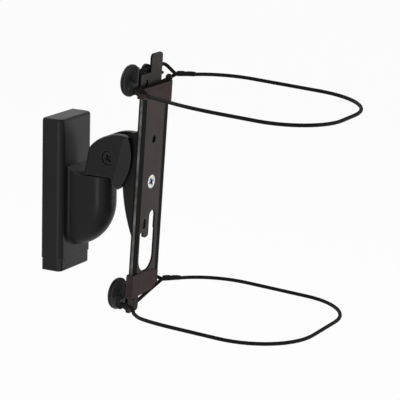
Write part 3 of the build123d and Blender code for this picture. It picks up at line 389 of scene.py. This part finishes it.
def wire_coat(slot):
    finish = Finish("wire_coat")
    drift = finish.noise(size_mm=5, detail=3)
    finish.bump(finish.noise(size_mm=0.6, detail=2), depth_mm=0.012, strength=0.3)
    colour = finish.tones(drift, (0.0095, 0.0085, 0.0080), (0.0150, 0.0135, 0.0125))
    finish.coat(slot, colour, finish.spread(drift, 0.58, 0.68), Specular_IOR_Level=0.025)


saddle_plastic("saddle_plastic")
knob_plastic("knob_plastic")
wire_coat("wire_coat")

# %% [markdown]
# ## Metals
# The bright screw is zinc plated and turned, so it has fine rings round its own middle. Its recess is
# painted dark blue as painted shade: the depth under the plate's face, read from coordinates that lie on
# the plate, mixes the two. Where the head meets the plate its rim is painted dark, as a painted contact
# shadow. Black screws and swaged ends are oxide black with a dull, rubbed look. Hidden hardware is dull
# zinc, and the friction washers are nylon.

# %% Metals and nylon
RING_SCALE = 1 / (7 * MM)
RECESS_SHADE_FROM, RECESS_SHADE_TO = -0.45 * MM, -0.06 * MM
RIM_FROM, RIM_TO = 4.30 * MM, 4.55 * MM


def bright_zinc(slot):
    finish = Finish("bright_zinc")
    rings = finish.node(
        "ShaderNodeTexWave", Scale=RING_SCALE, Distortion=0.6, wave_type="RINGS", rings_direction="Z")
    finish.link(finish.within(on_plate(0, 0)), rings.inputs["Vector"])
    finish.bump(rings.outputs["Fac"], depth_mm=0.01, strength=0.25)
    x, y, height = finish.axes(on_plate(0, 0))
    sunk = finish.spread(height, 1, 0, RECESS_SHADE_FROM, RECESS_SHADE_TO)
    rim = finish.spread(finish.length(x, y), 0, 1, RIM_FROM, RIM_TO)
    drift = finish.noise(size_mm=1.5, detail=3)
    bare = finish.tones(drift, (0.34, 0.345, 0.34), (0.45, 0.455, 0.445))
    # painted shade: the recess below the plate's face is painted dark blue
    painted_recess_shade = finish.tones(drift, (0.070, 0.170, 0.400), (0.150, 0.320, 0.620))
    # painted shadow: a dark ring painted where the head meets the plate
    painted_contact_shadow = finish.tones(drift, (0.012, 0.012, 0.012), (0.022, 0.021, 0.020))
    colour = finish.over(rim, finish.over(sunk, bare, painted_recess_shade), painted_contact_shadow)
    finish.coat(slot, colour, finish.spread(drift, 0.26, 0.40), Metallic=1.0)


def oxide_black(slot, name, dark, light):
    finish = Finish(name)
    drift = finish.noise(size_mm=1.8, detail=4)
    finish.bump(finish.noise(size_mm=0.25, detail=2), depth_mm=0.012, strength=0.4)
    colour = finish.tones(drift, dark, light)
    finish.coat(slot, colour, finish.spread(drift, 0.46, 0.60), Specular_IOR_Level=0.07)


def dull_zinc(slot):
    finish = Finish("dull_zinc")
    drift = finish.noise(size_mm=2.5, detail=4)
    finish.bump(finish.noise(size_mm=0.2, detail=2), depth_mm=0.01, strength=0.4)
    colour = finish.tones(drift, (0.46, 0.46, 0.47), (0.62, 0.62, 0.62))
    finish.coat(slot, colour, finish.spread(drift, 0.34, 0.5), Metallic=1.0)


def friction_nylon(slot):
    finish = Finish("friction_nylon")
    drift = finish.noise(size_mm=3, detail=3)
    finish.bump(finish.noise(size_mm=0.3, detail=2), depth_mm=0.02, strength=0.3)
    colour = finish.tones(drift, (0.02, 0.02, 0.02), (0.032, 0.032, 0.031))
    finish.coat(slot, colour, finish.spread(drift, 0.5, 0.62))


bright_zinc("bright_screw")
oxide_black("black_screw", "oxide_black", (0.013, 0.013, 0.0135), (0.026, 0.0255, 0.025))
oxide_black("black_swage", "swage_black", (0.0060, 0.0060, 0.0060), (0.0140, 0.0135, 0.0130))
dull_zinc("zinc_steel")
friction_nylon("friction_nylon")

# %% [markdown]
# ## Installing a piece
# A finished piece stands in for one node of the frame. The frame's record already says which body that
# node belongs to and which finish it has, so one function looks both up and fits the piece.

# %% Installing a piece
BODY_OF = {node: body for body, nodes in frame["record"]["behaviour"]["bodies"].items() for node in nodes}
SLOT_OF = {row["node"]: row["material_slot"] for row in frame["record"]["subparts"]}


def install(piece, node):
    """Gives a piece its finish, its body and its place in the frame."""
    slot = SLOT_OF[node]
    piece.data.materials.clear()
    piece.data.materials.append(FINISHES[slot])
    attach(piece, BODY_OF[node])
    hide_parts(node)
    print(f"{piece.name}: {len(piece.data.polygons)} faces on {BODY_OF[node]}, {slot}")


# %% [markdown]
# ## Mouldings and pressings
# The housing, knuckle, fin, plate and saddles are engineered shapes that the frame already has, but its
# edges are knife sharp and its triangles are loose. Real moulded and pressed edges are slightly round
# and catch a thin line of light. So each copy is merged, its flat triangles are dissolved into whole
# faces, a Bevel modifier rounds the sharp edges by the given size, and the shading is weighted by area.
# The knuckle's cheeks have one low ridge in front of the tilt screw. It is too shallow for the bevel, so
# it is marked sharp, which keeps it crisp.

# %% Soft edged copies
FLAT_DEG = 0.2
BEVEL_DEG = 32
BEVEL_SEGMENTS = 2
MOULDED_CREASE_DEG = 35
RIDGE_TOP = Vector((-55.8, 44.0)) * MM
RIDGE_FOOT = Vector((-47.2, 10.0)) * MM
RIDGE_NEAR = 0.03 * MM
KNUCKLE_HALF = 10.3 * MM
SOFT_EDGE_MM = {
    "wall_plate": 0.4,
    "housing": 0.4,
    "lock_screw": 0.15,
    "pan_thrust_disc": 0.1,
    "pan_washer": 0.1,
    "pan_spring_washer": 0.1,
    "pan_bolt": 0.2,
    "knuckle": 0.45,
    "tilt_nut": 0.2,
    "tilt_washers": 0.05,
    "tilt_head": 0.4,
    "speaker_plate": 0.22,
    "upper_saddle": 0.25,
    "lower_saddle": 0.25,
    "upper_yoke": 0.25,
    "lower_yoke": 0.25,
}


def on_ridge(co):
    """True on the straight ridge across either cheek of the knuckle."""
    along = (RIDGE_TOP - RIDGE_FOOT).normalized()
    offset = Vector((co.y, co.z)) - RIDGE_FOOT
    off_line = abs(along.x * offset.y - along.y * offset.x)
    return off_line < RIDGE_NEAR and abs(abs(co.x) - KNUCKLE_HALF) < RIDGE_NEAR


def soft_copy(node, edge_mm):
    """Merged copy of a node with slightly rounded edges."""
    piece = bpy.data.objects.new(f"{node}_soft", frame["nodes"][node].data.copy())
    bpy.context.scene.collection.objects.link(piece)
    pick(piece)
    bpy.ops.mesh.customdata_custom_splitnormals_clear()
    edit(piece)
    bpy.ops.mesh.select_all(action="SELECT")
    bpy.ops.mesh.remove_doubles(threshold=TOUCH)
    bpy.ops.mesh.dissolve_limited(angle_limit=math.radians(FLAT_DEG))
    leave_edit()
    modify(
        piece, "BEVEL", width=edge_mm * MM, segments=BEVEL_SEGMENTS, limit_method="ANGLE",
        angle_limit=math.radians(BEVEL_DEG), use_clamp_overlap=True, miter_outer="MITER_ARC")
    if node == "knuckle":
        edit(piece)
        select_corners(piece, on_ridge)
        bpy.ops.mesh.mark_sharp()
        leave_edit()
        print("ridge corners:", sum(on_ridge(vertex.co) for vertex in piece.data.vertices))
    shade(piece, MOULDED_CREASE_DEG)
    return piece


for node, edge_mm in SOFT_EDGE_MM.items():
    install(soft_copy(node, edge_mm), node)

# %% [markdown]
# ## Turned pieces
# Knobs, screws and swaged ends are round. In a workshop they are turned, and here a circle is extruded
# from ring to ring, and each new ring is scaled to its radius. The pieces are drawn upright on the
# world's z axis, and then laid on the speaker plate, whose outward normal becomes that axis.

# %% Turning and laying on the plate
TURNED_CREASE_DEG = 40
SCREW_CREASE_DEG = 30


def turned(name, rings, sides):
    """Closed round piece from (radius, height) rings in millimetres."""
    radius, height = rings[0]
    bpy.ops.object.select_all(action="DESELECT")
    bpy.ops.mesh.primitive_circle_add(
        vertices=sides, radius=radius * MM, fill_type="NGON", location=(0, 0, height * MM))
    piece = bpy.context.object
    piece.name = name
    bpy.ops.object.transform_apply(location=True, rotation=True, scale=True)
    edit(piece)
    bpy.ops.mesh.select_all(action="SELECT")
    for next_radius, next_height in rings[1:]:
        rise = (next_height - height) * MM
        bpy.ops.mesh.extrude_region_move(TRANSFORM_OT_translate={"value": (0, 0, rise)})
        share = next_radius / radius
        bpy.ops.transform.resize(value=(share, share, 1), center_override=(0, 0, next_height * MM))
        radius, height = next_radius, next_height
    leave_edit()
    face_outward(piece)
    return piece


def settle(piece, matrix):
    """Moves a piece into place and puts that place into its mesh."""
    pick(piece)
    piece.matrix_world = matrix
    bpy.context.view_layer.update()
    bpy.ops.object.transform_apply(location=True, rotation=True, scale=True)


print("ready to turn round pieces")

# %% [markdown]
# ## Thumb knobs
# A thumb knob is a plain round moulding. The rings give its profile: a domed cap and a well rounded edge
# at the back, a narrow rim, and a hardly dished front with a collar round the screw.

# %% Thumb knobs
CLAMP_X = -6.0
CLAMP_Z = {"upper": 64.9, "lower": -77.5}
KNOB_SIDES = 128
KNOB_RINGS = [
    (1.2, -20.0), (4.6, -19.98), (5.5, -19.75), (5.9, -19.4), (6.15, -19.12), (7.9, -19.1), (8.9, -18.9),
    (9.74, -18.34), (10.3, -17.49), (10.5, -16.5), (10.5, -15.9), (10.44, -15.59), (10.27, -15.33),
    (10.01, -15.16), (9.7, -15.1), (9.2, -15.1), (8.8, -15.13), (8.4, -15.19), (8.0, -15.21), (6.0, -15.22),
    (5.6, -15.19), (5.3, -15.12), (4.9, -15.1), (3.05, -15.1),
]


def knob(level):
    piece = turned(f"{level}_knob_turned", KNOB_RINGS, KNOB_SIDES)
    shade(piece, TURNED_CREASE_DEG)
    settle(piece, on_plate(CLAMP_X, CLAMP_Z[level]))
    return piece


for level in CLAMP_Z:
    install(knob(level), f"{level}_knob")

# %% [markdown]
# ## Clamp screws
# Each knob turns a screw that draws the yoke back. A thread is one tooth swept round a helix: the Screw
# modifier does that, and because the tooth is exactly one pitch tall, each turn closes on the next.
# The plain pilot tip that runs in the plate's hole is turned and joined on.

# %% Clamp screws
PITCH = 1.0
THREAD_RADIUS = 3.0
THREAD_ROOT = 2.45
TOOTH = [(THREAD_ROOT, 0.0), (THREAD_RADIUS, 0.4), (THREAD_RADIUS, 0.6), (THREAD_ROOT, PITCH)]
THREAD_BACK = -17.9
THREAD_TURNS = 11
THREAD_STEPS = 36
TIP_RINGS = [(2.3, -6.9), (2.3, -5.8), (2.0, -5.5)]


def clamp_screw(level):
    tooth = [(radius * MM, 0, (THREAD_BACK + height) * MM) for radius, height in TOOTH]
    mesh = bpy.data.meshes.new(f"{level}_clamp_screw_threaded")
    mesh.from_pydata(tooth, [(0, 1), (1, 2), (2, 3)], [])
    piece = bpy.data.objects.new(mesh.name, mesh)
    bpy.context.scene.collection.objects.link(piece)
    modify(
        piece, "SCREW", angle=2 * math.pi, screw_offset=PITCH * MM, iterations=THREAD_TURNS,
        steps=THREAD_STEPS, render_steps=THREAD_STEPS)
    edit(piece)
    bpy.ops.mesh.select_all(action="SELECT")
    bpy.ops.mesh.remove_doubles(threshold=TOUCH)
    bpy.ops.mesh.fill_holes(sides=0)
    leave_edit()
    face_outward(piece)
    tip = turned(f"{level}_pilot_tip", TIP_RINGS, THREAD_STEPS)
    pick(piece)
    tip.select_set(True)
    bpy.ops.object.join()
    shade(piece, SCREW_CREASE_DEG)
    settle(piece, on_plate(CLAMP_X, CLAMP_Z[level]))
    return piece


for level in CLAMP_Z:
    install(clamp_screw(level), f"{level}_clamp_screw")

# %% [markdown]
# ## Cross recess screws
# The bright screw in the middle of the plate and the black tilt screw both have a cross recess. The head
# is turned first. Two tapered bars, one across the other, are then cut out of it with the Boolean
# modifier, as the punch in a heading machine would press them in.

# %% Cross recess screws
SCREW_SIDES = 64
RECESS_DEPTH = 1.8
RECESS_TAPER = 0.6
RECESS_ARM = 0.3
PLATE_RECESS, PLATE_RECESS_TURN = 5.2, 25
PLATE_SCREW_TOP = 0.0
PLATE_SCREW_RINGS = [
    (2.2, -14.0), (2.5, -13.6), (2.5, -2.75), (4.72, -0.52), (4.85, -0.36), (4.85, -0.2), (4.7, -0.03),
    (4.5, PLATE_SCREW_TOP),
]
TILT_RECESS, TILT_RECESS_TURN = 5.4, 30
TILT_SCREW_TOP = 2.6
TILT_SCREW_RINGS = [
    (2.3, -16.9), (2.5, -16.7), (2.5, 0.0), (4.4, 0.0), (4.65, 0.12), (4.7, 0.4), (4.7, 1.9), (4.6, 2.25),
    (4.35, 2.48), (3.9, TILT_SCREW_TOP),
]
TILT_SEAT = TILT_PIN + Vector((-7.1 * MM, 0, 0))
TOWARDS_NEAR_SIDE = Matrix.Rotation(math.radians(-90), 4, "Y")


def cut_recess(piece, size_mm, top_mm, turn_deg):
    """Presses a tapered cross, as wide as given at the surface, into the top of a screw."""
    mouth = 2 * size_mm / (1 + RECESS_TAPER)
    for angle in (turn_deg, turn_deg + 90):
        bpy.ops.object.select_all(action="DESELECT")
        bpy.ops.mesh.primitive_cube_add(size=1)
        bar = bpy.context.object
        bar.scale = (mouth * MM, mouth * RECESS_ARM * MM, 2 * RECESS_DEPTH * MM)
        bar.rotation_euler = (0, 0, math.radians(angle))
        bar.location = (0, 0, top_mm * MM)
        bpy.ops.object.transform_apply(location=True, rotation=True, scale=True)
        edit(bar)
        select_corners(bar, lambda co: co.z < top_mm * MM)
        bpy.ops.transform.resize(value=(RECESS_TAPER, RECESS_TAPER, 1), center_override=(0, 0, 0))
        leave_edit()
        modify(piece, "BOOLEAN", object=bar, operation="DIFFERENCE", solver="EXACT")
        bpy.data.objects.remove(bar)


plate_screw = turned("plate_screw_cross", PLATE_SCREW_RINGS, SCREW_SIDES)
cut_recess(plate_screw, PLATE_RECESS, PLATE_SCREW_TOP, PLATE_RECESS_TURN)
shade(plate_screw, SCREW_CREASE_DEG)
settle(plate_screw, on_plate(0, 0))
install(plate_screw, "plate_screw")

tilt_screw = turned("tilt_screw_cross", TILT_SCREW_RINGS, SCREW_SIDES)
cut_recess(tilt_screw, TILT_RECESS, TILT_SCREW_TOP, TILT_RECESS_TURN)
shade(tilt_screw, SCREW_CREASE_DEG)
settle(tilt_screw, Matrix.Translation(TILT_SEAT) @ TOWARDS_NEAR_SIDE)
install(tilt_screw, "tilt_screw")

# %% [markdown]
# ## Wire loops
# Each loop is one length of stiff coated wire: from its swaged end it flares out, goes round the
# speaker, comes back to the plate, runs round the yoke's hub and ends in the crimped sleeve. A Bezier
# curve suits bent wire, because a handle of the right length turns each corner into a true round bend.
# The corner points and bend radii are those that the wire was formed to.

# %% Sizes of the wires
WIRE = 2.4
WIRE_RINGS = 4
BEND_STEPS = 14
EYE_X = 21.4
EYE_S = -7.6
EYE_RADIUS = 8.5
TERMINAL_X = -20.4
TERMINAL_START = -8.3
TERMINAL_FRONT = 0.6
TERMINAL_LEG = 2.6
DIP_RUN = 3.0
SLEEVE_START = 2.0
TAIL_LENGTH = 5.5
WIRE_GAP = 0.1
LEG_BENDS = [4.0, 4.0]
EYE_BENDS = [2.6, 2.6, EYE_RADIUS, EYE_RADIUS, 2.6, 2.6]
LOOPS = {
    "upper": {
        "half": 52.3, "reach": 137.9, "far_short": 2.8, "rise": 1.3, "eye": 2.6, "low": -3.0, "low_x": 20.0,
        "terminal": -2.6, "dip": -3.7, "near_flare": 53.4, "far_flare": 21.8,
        "bends": [80.0, 38.0, 47.6, 36.0],
    },
    "lower": {
        "half": 58.0, "reach": 130.8, "far_short": 3.8, "rise": 4.8, "eye": 6.8, "low": -2.4, "low_x": 19.0,
        "terminal": -2.2, "dip": -4.9, "near_flare": 31.3, "far_flare": 20.0,
        "bends": [43.4, 43.3, 38.6, 42.0],
    },
}
for level, loop in LOOPS.items():
    print(f"{level} loop: {2 * loop['half']:.1f} mm wide, reaching {loop['reach']:.1f} mm")

# %% Corner points of a wire
def on_head(x, s, z):
    """Point of the tilting head in metres: across, in front of the web, and up from the middle screw."""
    return HEAD @ Vector((x * MM, WEB_Y - s * MM, SCREW_Z + z * MM))


def sleeve_axes(level):
    """Where the sleeve starts, the way it points and the way its second wire lies."""
    loop = LOOPS[level]
    z = CLAMP_Z[level]
    eye = on_head(EYE_X, WIRE / 2, z + loop["eye"])
    flare = on_head(loop["half"], loop["far_flare"], z + loop["rise"])
    onward = (flare - eye).normalized()
    up = HEAD.to_3x3() @ Vector((0, 0, 1))
    behind = up.cross(onward).normalized()
    return eye, onward, behind


def wire_corners(level):
    """Corner points of one wire, from the swaged end to the tail in the sleeve."""
    loop = LOOPS[level]
    z = CLAMP_Z[level]
    rise = z + loop["rise"]
    half, reach, low = loop["half"], loop["reach"], loop["low"]
    eye, onward, behind = sleeve_axes(level)
    tail = eye + onward * SLEEVE_START * MM + behind * (WIRE + WIRE_GAP) * MM
    round_x = CLAMP_X - EYE_RADIUS
    leg = loop["low_x"] - CLAMP_X
    leg_angle = math.atan2(low, leg) - math.acos(EYE_RADIUS / math.hypot(leg, low))
    under = EYE_RADIUS * math.tan((math.pi + leg_angle) / 2)
    return [
        on_head(TERMINAL_X, TERMINAL_START, z + loop["terminal"]),
        on_head(TERMINAL_X, TERMINAL_FRONT + TERMINAL_LEG, z + loop["terminal"]),
        on_head(TERMINAL_X - DIP_RUN, TERMINAL_FRONT + TERMINAL_LEG + DIP_RUN, z + loop["dip"]),
        on_head(-half, loop["near_flare"], rise),
        on_head(-half, reach, rise),
        on_head(half, reach - loop["far_short"], rise),
        on_head(half, loop["far_flare"], rise),
        eye,
        on_head(EYE_X, EYE_S, z + EYE_RADIUS),
        on_head(round_x, EYE_S, z + EYE_RADIUS),
        on_head(round_x, EYE_S, z - under),
        on_head(loop["low_x"], EYE_S, z + low),
        tail,
        tail + onward * TAIL_LENGTH * MM,
    ]


print("corners in a wire:", len(wire_corners("upper")))

# %% Bending the wires
def bent_wire(level):
    """Wire along its corner points, each turned into a round bend."""
    corners = wire_corners(level)
    radii = LEG_BENDS + LOOPS[level]["bends"] + EYE_BENDS
    bpy.ops.object.select_all(action="DESELECT")
    bpy.ops.curve.primitive_bezier_curve_add()
    piece = bpy.context.object
    piece.name = f"{level}_wire_bent"
    curve = piece.data
    spline = curve.splines[0]
    spline.bezier_points.add(2 * len(radii))
    points = spline.bezier_points
    for point in points:
        point.handle_left_type = "FREE"
        point.handle_right_type = "FREE"

    def put(index, co, way_in, way_out):
        points[index].co = co
        points[index].handle_left = co - way_in
        points[index].handle_right = co + way_out

    first_way = (corners[1] - corners[0]).normalized() * MM
    put(0, corners[0], first_way, first_way)
    for place, radius in enumerate(radii):
        before, corner, after = corners[place:place + 3]
        way_in = (corner - before).normalized()
        way_out = (after - corner).normalized()
        turn = way_in.angle(way_out)
        trim = radius * MM * math.tan(turn / 2)
        handle = radius * MM * 4 / 3 * math.tan(turn / 4)
        put(2 * place + 1, corner - way_in * trim, way_in * MM, way_in * handle)
        put(2 * place + 2, corner + way_out * trim, way_out * handle, way_out * MM)
    last_way = (corners[-1] - corners[-2]).normalized() * MM
    put(len(points) - 1, corners[-1], last_way, last_way)
    curve.bevel_depth = WIRE / 2 * MM
    curve.bevel_resolution = WIRE_RINGS
    curve.resolution_u = BEND_STEPS
    curve.render_resolution_u = BEND_STEPS
    curve.use_fill_caps = True
    pick(piece)
    bpy.ops.object.convert(target="MESH")
    face_outward(piece)
    settle(piece, piece.matrix_world.copy())
    shade(piece, TURNED_CREASE_DEG)
    return piece


for level in LOOPS:
    install(bent_wire(level), f"{level}_wire_loop")

# %% [markdown]
# ## Swaged ends
# One end of each wire is pressed into a steel end with a button that seats behind the yoke's foot and a
# groove near its mouth. It is round, so it is turned like the screws.

# %% Swaged ends
TERMINAL_SIDES = 32
TERMINAL_RINGS = [
    (1.5, 0.0), (1.85, 0.04), (2.15, 0.22), (2.3, 0.5), (2.3, 1.3), (2.14, 1.62), (1.95, 1.8), (1.9, 1.95),
    (1.9, 5.6), (1.82, 5.75), (1.52, 6.1), (1.5, 6.4), (1.52, 6.6), (1.82, 6.95), (1.9, 7.1), (1.9, 8.3),
    (1.82, 8.5), (1.52, 8.85), (1.25, 8.9),
]

for level in LOOPS:
    rings = [(radius, height + TERMINAL_START) for radius, height in TERMINAL_RINGS]
    terminal = turned(f"{level}_terminal_swaged", rings, TERMINAL_SIDES)
    shade(terminal, TURNED_CREASE_DEG)
    settle(terminal, on_plate(TERMINAL_X, CLAMP_Z[level] + LOOPS[level]["terminal"]))
    install(terminal, f"{level}_wire_terminal")

# %% [markdown]
# ## Crimped sleeves
# The sleeve is an oval tube pressed over two wires. A circle is pulled apart into an oval, extruded from
# section to section, pinched where the crimping tool bit, and brought down to a round collar. Each
# section gives its height, its width and thickness as shares of the sleeve, and how far apart the two
# wires in it still are.

# %% Crimped sleeves
SLEEVE_RADIUS = 1.7
SLEEVE_PAIR = WIRE + WIRE_GAP
SLEEVE_SIDES = 40
SLEEVE_MOUTH = 0.9
SLEEVE_CREASE_DEG = 50
SAME_WIDTH = 1e-6
SLEEVE_SECTIONS = [
    (0.25, 1.00, 1.00, 1.00), (0.7, 1.04, 1.06, 1.00), (4.0, 1.03, 1.05, 1.00), (4.8, 1.00, 0.98, 1.00),
    (5.7, 0.95, 0.84, 0.96), (6.3, 0.94, 0.80, 0.88), (7.0, 0.96, 0.88, 0.76), (8.0, 0.99, 0.97, 0.60),
    (10.4, 0.98, 0.97, 0.26), (11.5, 0.95, 0.94, 0.08), (12.1, 0.88, 0.88, 0.02), (12.5, 0.75, 0.75, 0.00),
]


def crimped_sleeve(level):
    bpy.ops.object.select_all(action="DESELECT")
    bpy.ops.mesh.primitive_circle_add(vertices=SLEEVE_SIDES, radius=SLEEVE_RADIUS * MM, fill_type="NGON")
    piece = bpy.context.object
    piece.name = f"{level}_sleeve_crimped"
    piece.rotation_euler = (0, 0, math.pi / SLEEVE_SIDES)
    bpy.ops.object.transform_apply(location=True, rotation=True, scale=True)
    edit(piece)
    bpy.ops.mesh.select_all(action="SELECT")
    bpy.ops.transform.resize(value=(SLEEVE_MOUTH, SLEEVE_MOUTH, 1), center_override=(0, 0, 0))
    select_corners(piece, lambda co: co.x > 0)
    bpy.ops.transform.translate(value=(SLEEVE_PAIR * MM, 0, 0))
    bpy.ops.mesh.select_all(action="SELECT")
    height, wide, tall, spread = 0.0, SLEEVE_MOUTH, SLEEVE_MOUTH, 1.0
    for next_height, next_wide, next_tall, next_spread in SLEEVE_SECTIONS:
        bpy.ops.mesh.extrude_region_move(
            TRANSFORM_OT_translate={"value": (0, 0, (next_height - height) * MM)})
        width_now = SLEEVE_PAIR * spread + 2 * SLEEVE_RADIUS * wide
        width_next = SLEEVE_PAIR * next_spread + 2 * SLEEVE_RADIUS * next_wide
        left_now = -SLEEVE_RADIUS * wide
        left_next = -SLEEVE_RADIUS * next_wide
        stretch = width_next / width_now
        pivot = (left_next - stretch * left_now) / (1 - stretch) if abs(1 - stretch) > SAME_WIDTH else 0.0
        bpy.ops.transform.resize(
            value=(stretch, next_tall / tall, 1), center_override=(pivot * MM, 0, next_height * MM))
        height, wide, tall, spread = next_height, next_wide, next_tall, next_spread
    leave_edit()
    face_outward(piece)
    shade(piece, SLEEVE_CREASE_DEG)
    eye, onward, behind = sleeve_axes(level)
    frame_axes = Matrix((behind, onward.cross(behind), onward)).transposed().to_4x4()
    settle(piece, Matrix.Translation(eye + onward * SLEEVE_START * MM) @ frame_axes)
    return piece


for level in LOOPS:
    install(crimped_sleeve(level), f"{level}_crimp_sleeve")

# %% [markdown]
# ## Camera
# The camera stands where the photograph was taken: to the left of the bracket and a little above it,
# with a long lens, so that the verticals stay nearly parallel.

# %% Camera
VIEW_AZIMUTH = math.radians(-61.3)
VIEW_ELEVATION = math.radians(13.7)
VIEW_ROLL = math.radians(1.35)
AIM = Vector((0, -0.1071, 0.0071))
DISTANCE = 1.5223
FOCAL_LENGTH = 214.74
SENSOR_WIDTH = 36
CLIP_END = 50

turn = (
    Matrix.Rotation(VIEW_AZIMUTH, 4, "Z")
    @ Matrix.Rotation(math.radians(90) - VIEW_ELEVATION, 4, "X")
    @ Matrix.Rotation(VIEW_ROLL, 4, "Z")
)
bpy.ops.object.select_all(action="DESELECT")
bpy.ops.object.camera_add()
camera = bpy.context.object
camera.data.lens = FOCAL_LENGTH
camera.data.sensor_width = SENSOR_WIDTH
camera.data.clip_end = CLIP_END
camera.matrix_world = Matrix.Translation(AIM) @ turn @ Matrix.Translation((0, 0, DISTANCE))
bpy.context.scene.camera = camera
print("camera at", [round(value, 3) for value in camera.matrix_world.translation])

# %% [markdown]
# ## Floor
# The bracket hangs in a white studio. The floor is a sheet of pale paper well below it, which takes a
# faint shadow. To the camera, and in reflections, most of its colour is a glow of strength one, which is
# plain white, so the ground turns white with no extra light on the bracket.

# %% Floor
FLOOR_Z = -0.45
FLOOR_SIZE = 16.0
GLOW_SHARE = 0.95
PAPER_COLOUR = (0.92, 0.92, 0.92, 1)
PAPER_ROUGHNESS = 0.9


def seen_directly(nodes, links):
    """One where a ray comes from the camera, a reflection or a transparent piece."""
    path = nodes.new("ShaderNodeLightPath")
    total = path.outputs["Is Camera Ray"]
    for name in ("Is Glossy Ray", "Is Transmission Ray"):
        larger = nodes.new("ShaderNodeMath")
        larger.operation = "MAXIMUM"
        links.new(total, larger.inputs[0])
        links.new(path.outputs[name], larger.inputs[1])
        total = larger.outputs["Value"]
    return total


bpy.ops.object.select_all(action="DESELECT")
bpy.ops.mesh.primitive_plane_add(size=FLOOR_SIZE, location=(0, 0, FLOOR_Z))
floor = bpy.context.object
floor.name = "studio_floor"
paper = bpy.data.materials.new("white_paper")
paper.use_nodes = True
nodes, links = paper.node_tree.nodes, paper.node_tree.links
nodes["Principled BSDF"].inputs["Base Color"].default_value = PAPER_COLOUR
nodes["Principled BSDF"].inputs["Roughness"].default_value = PAPER_ROUGHNESS
glow = nodes.new("ShaderNodeEmission")
share = nodes.new("ShaderNodeMath")
share.operation = "MULTIPLY"
share.inputs[1].default_value = GLOW_SHARE
links.new(seen_directly(nodes, links), share.inputs[0])
blend = nodes.new("ShaderNodeMixShader")
links.new(share.outputs["Value"], blend.inputs["Fac"])
links.new(nodes["Principled BSDF"].outputs["BSDF"], blend.inputs[1])
links.new(glow.outputs["Emission"], blend.inputs[2])
links.new(blend.outputs["Shader"], nodes["Material Output"].inputs["Surface"])
floor.data.materials.append(paper)
print("floor at", FLOOR_Z)

# %% [markdown]
# ## Light
# The surroundings give an even, plain light. A low softbox in front on the right lights the plate. A tall
# narrow one on the left draws the upright highlight that shows how round the pouch is, and a third keeps
# the back of the bracket from going black. The surroundings turn white to the camera as the floor does.

# %% Light
WORLD_LEVEL = 0.30
SOFTBOXES = {
    "key": {"place": (0.9, -1.4, -0.15), "size": 0.55, "watts": 16.0},
    "strip": {"place": (-1.43, -0.34, -0.05), "size": 0.12, "tall": 0.7, "watts": 8.5},
    "back": {"place": (0.3, 1.6, 0.6), "size": 1.0, "watts": 16.0},
}

world = bpy.data.worlds.new("studio")
bpy.context.scene.world = world
world.use_nodes = True
nodes, links = world.node_tree.nodes, world.node_tree.links
level_range = nodes.new("ShaderNodeMapRange")
level_range.inputs["To Min"].default_value = WORLD_LEVEL
level_range.inputs["To Max"].default_value = 1.0
links.new(seen_directly(nodes, links), level_range.inputs["Value"])
nodes["Background"].inputs["Color"].default_value = (1, 1, 1, 1)
links.new(level_range.outputs["Result"], nodes["Background"].inputs["Strength"])

for name, box in SOFTBOXES.items():
    bpy.ops.object.select_all(action="DESELECT")
    bpy.ops.object.light_add(type="AREA", location=box["place"])
    lamp = bpy.context.object
    lamp.name = f"{name}_softbox"
    lamp.data.shape = "RECTANGLE"
    lamp.data.size = box["size"]
    lamp.data.size_y = box.get("tall", box["size"])
    lamp.data.energy = box["watts"]
    lamp.rotation_euler = (AIM - Vector(box["place"])).to_track_quat("-Z", "Y").to_euler()
print("lights:", ", ".join(SOFTBOXES))

# %% [markdown]
# ## Colour
# The Standard view shows each colour as it is written.

# %% Colour
bpy.context.scene.view_settings.view_transform = "Standard"
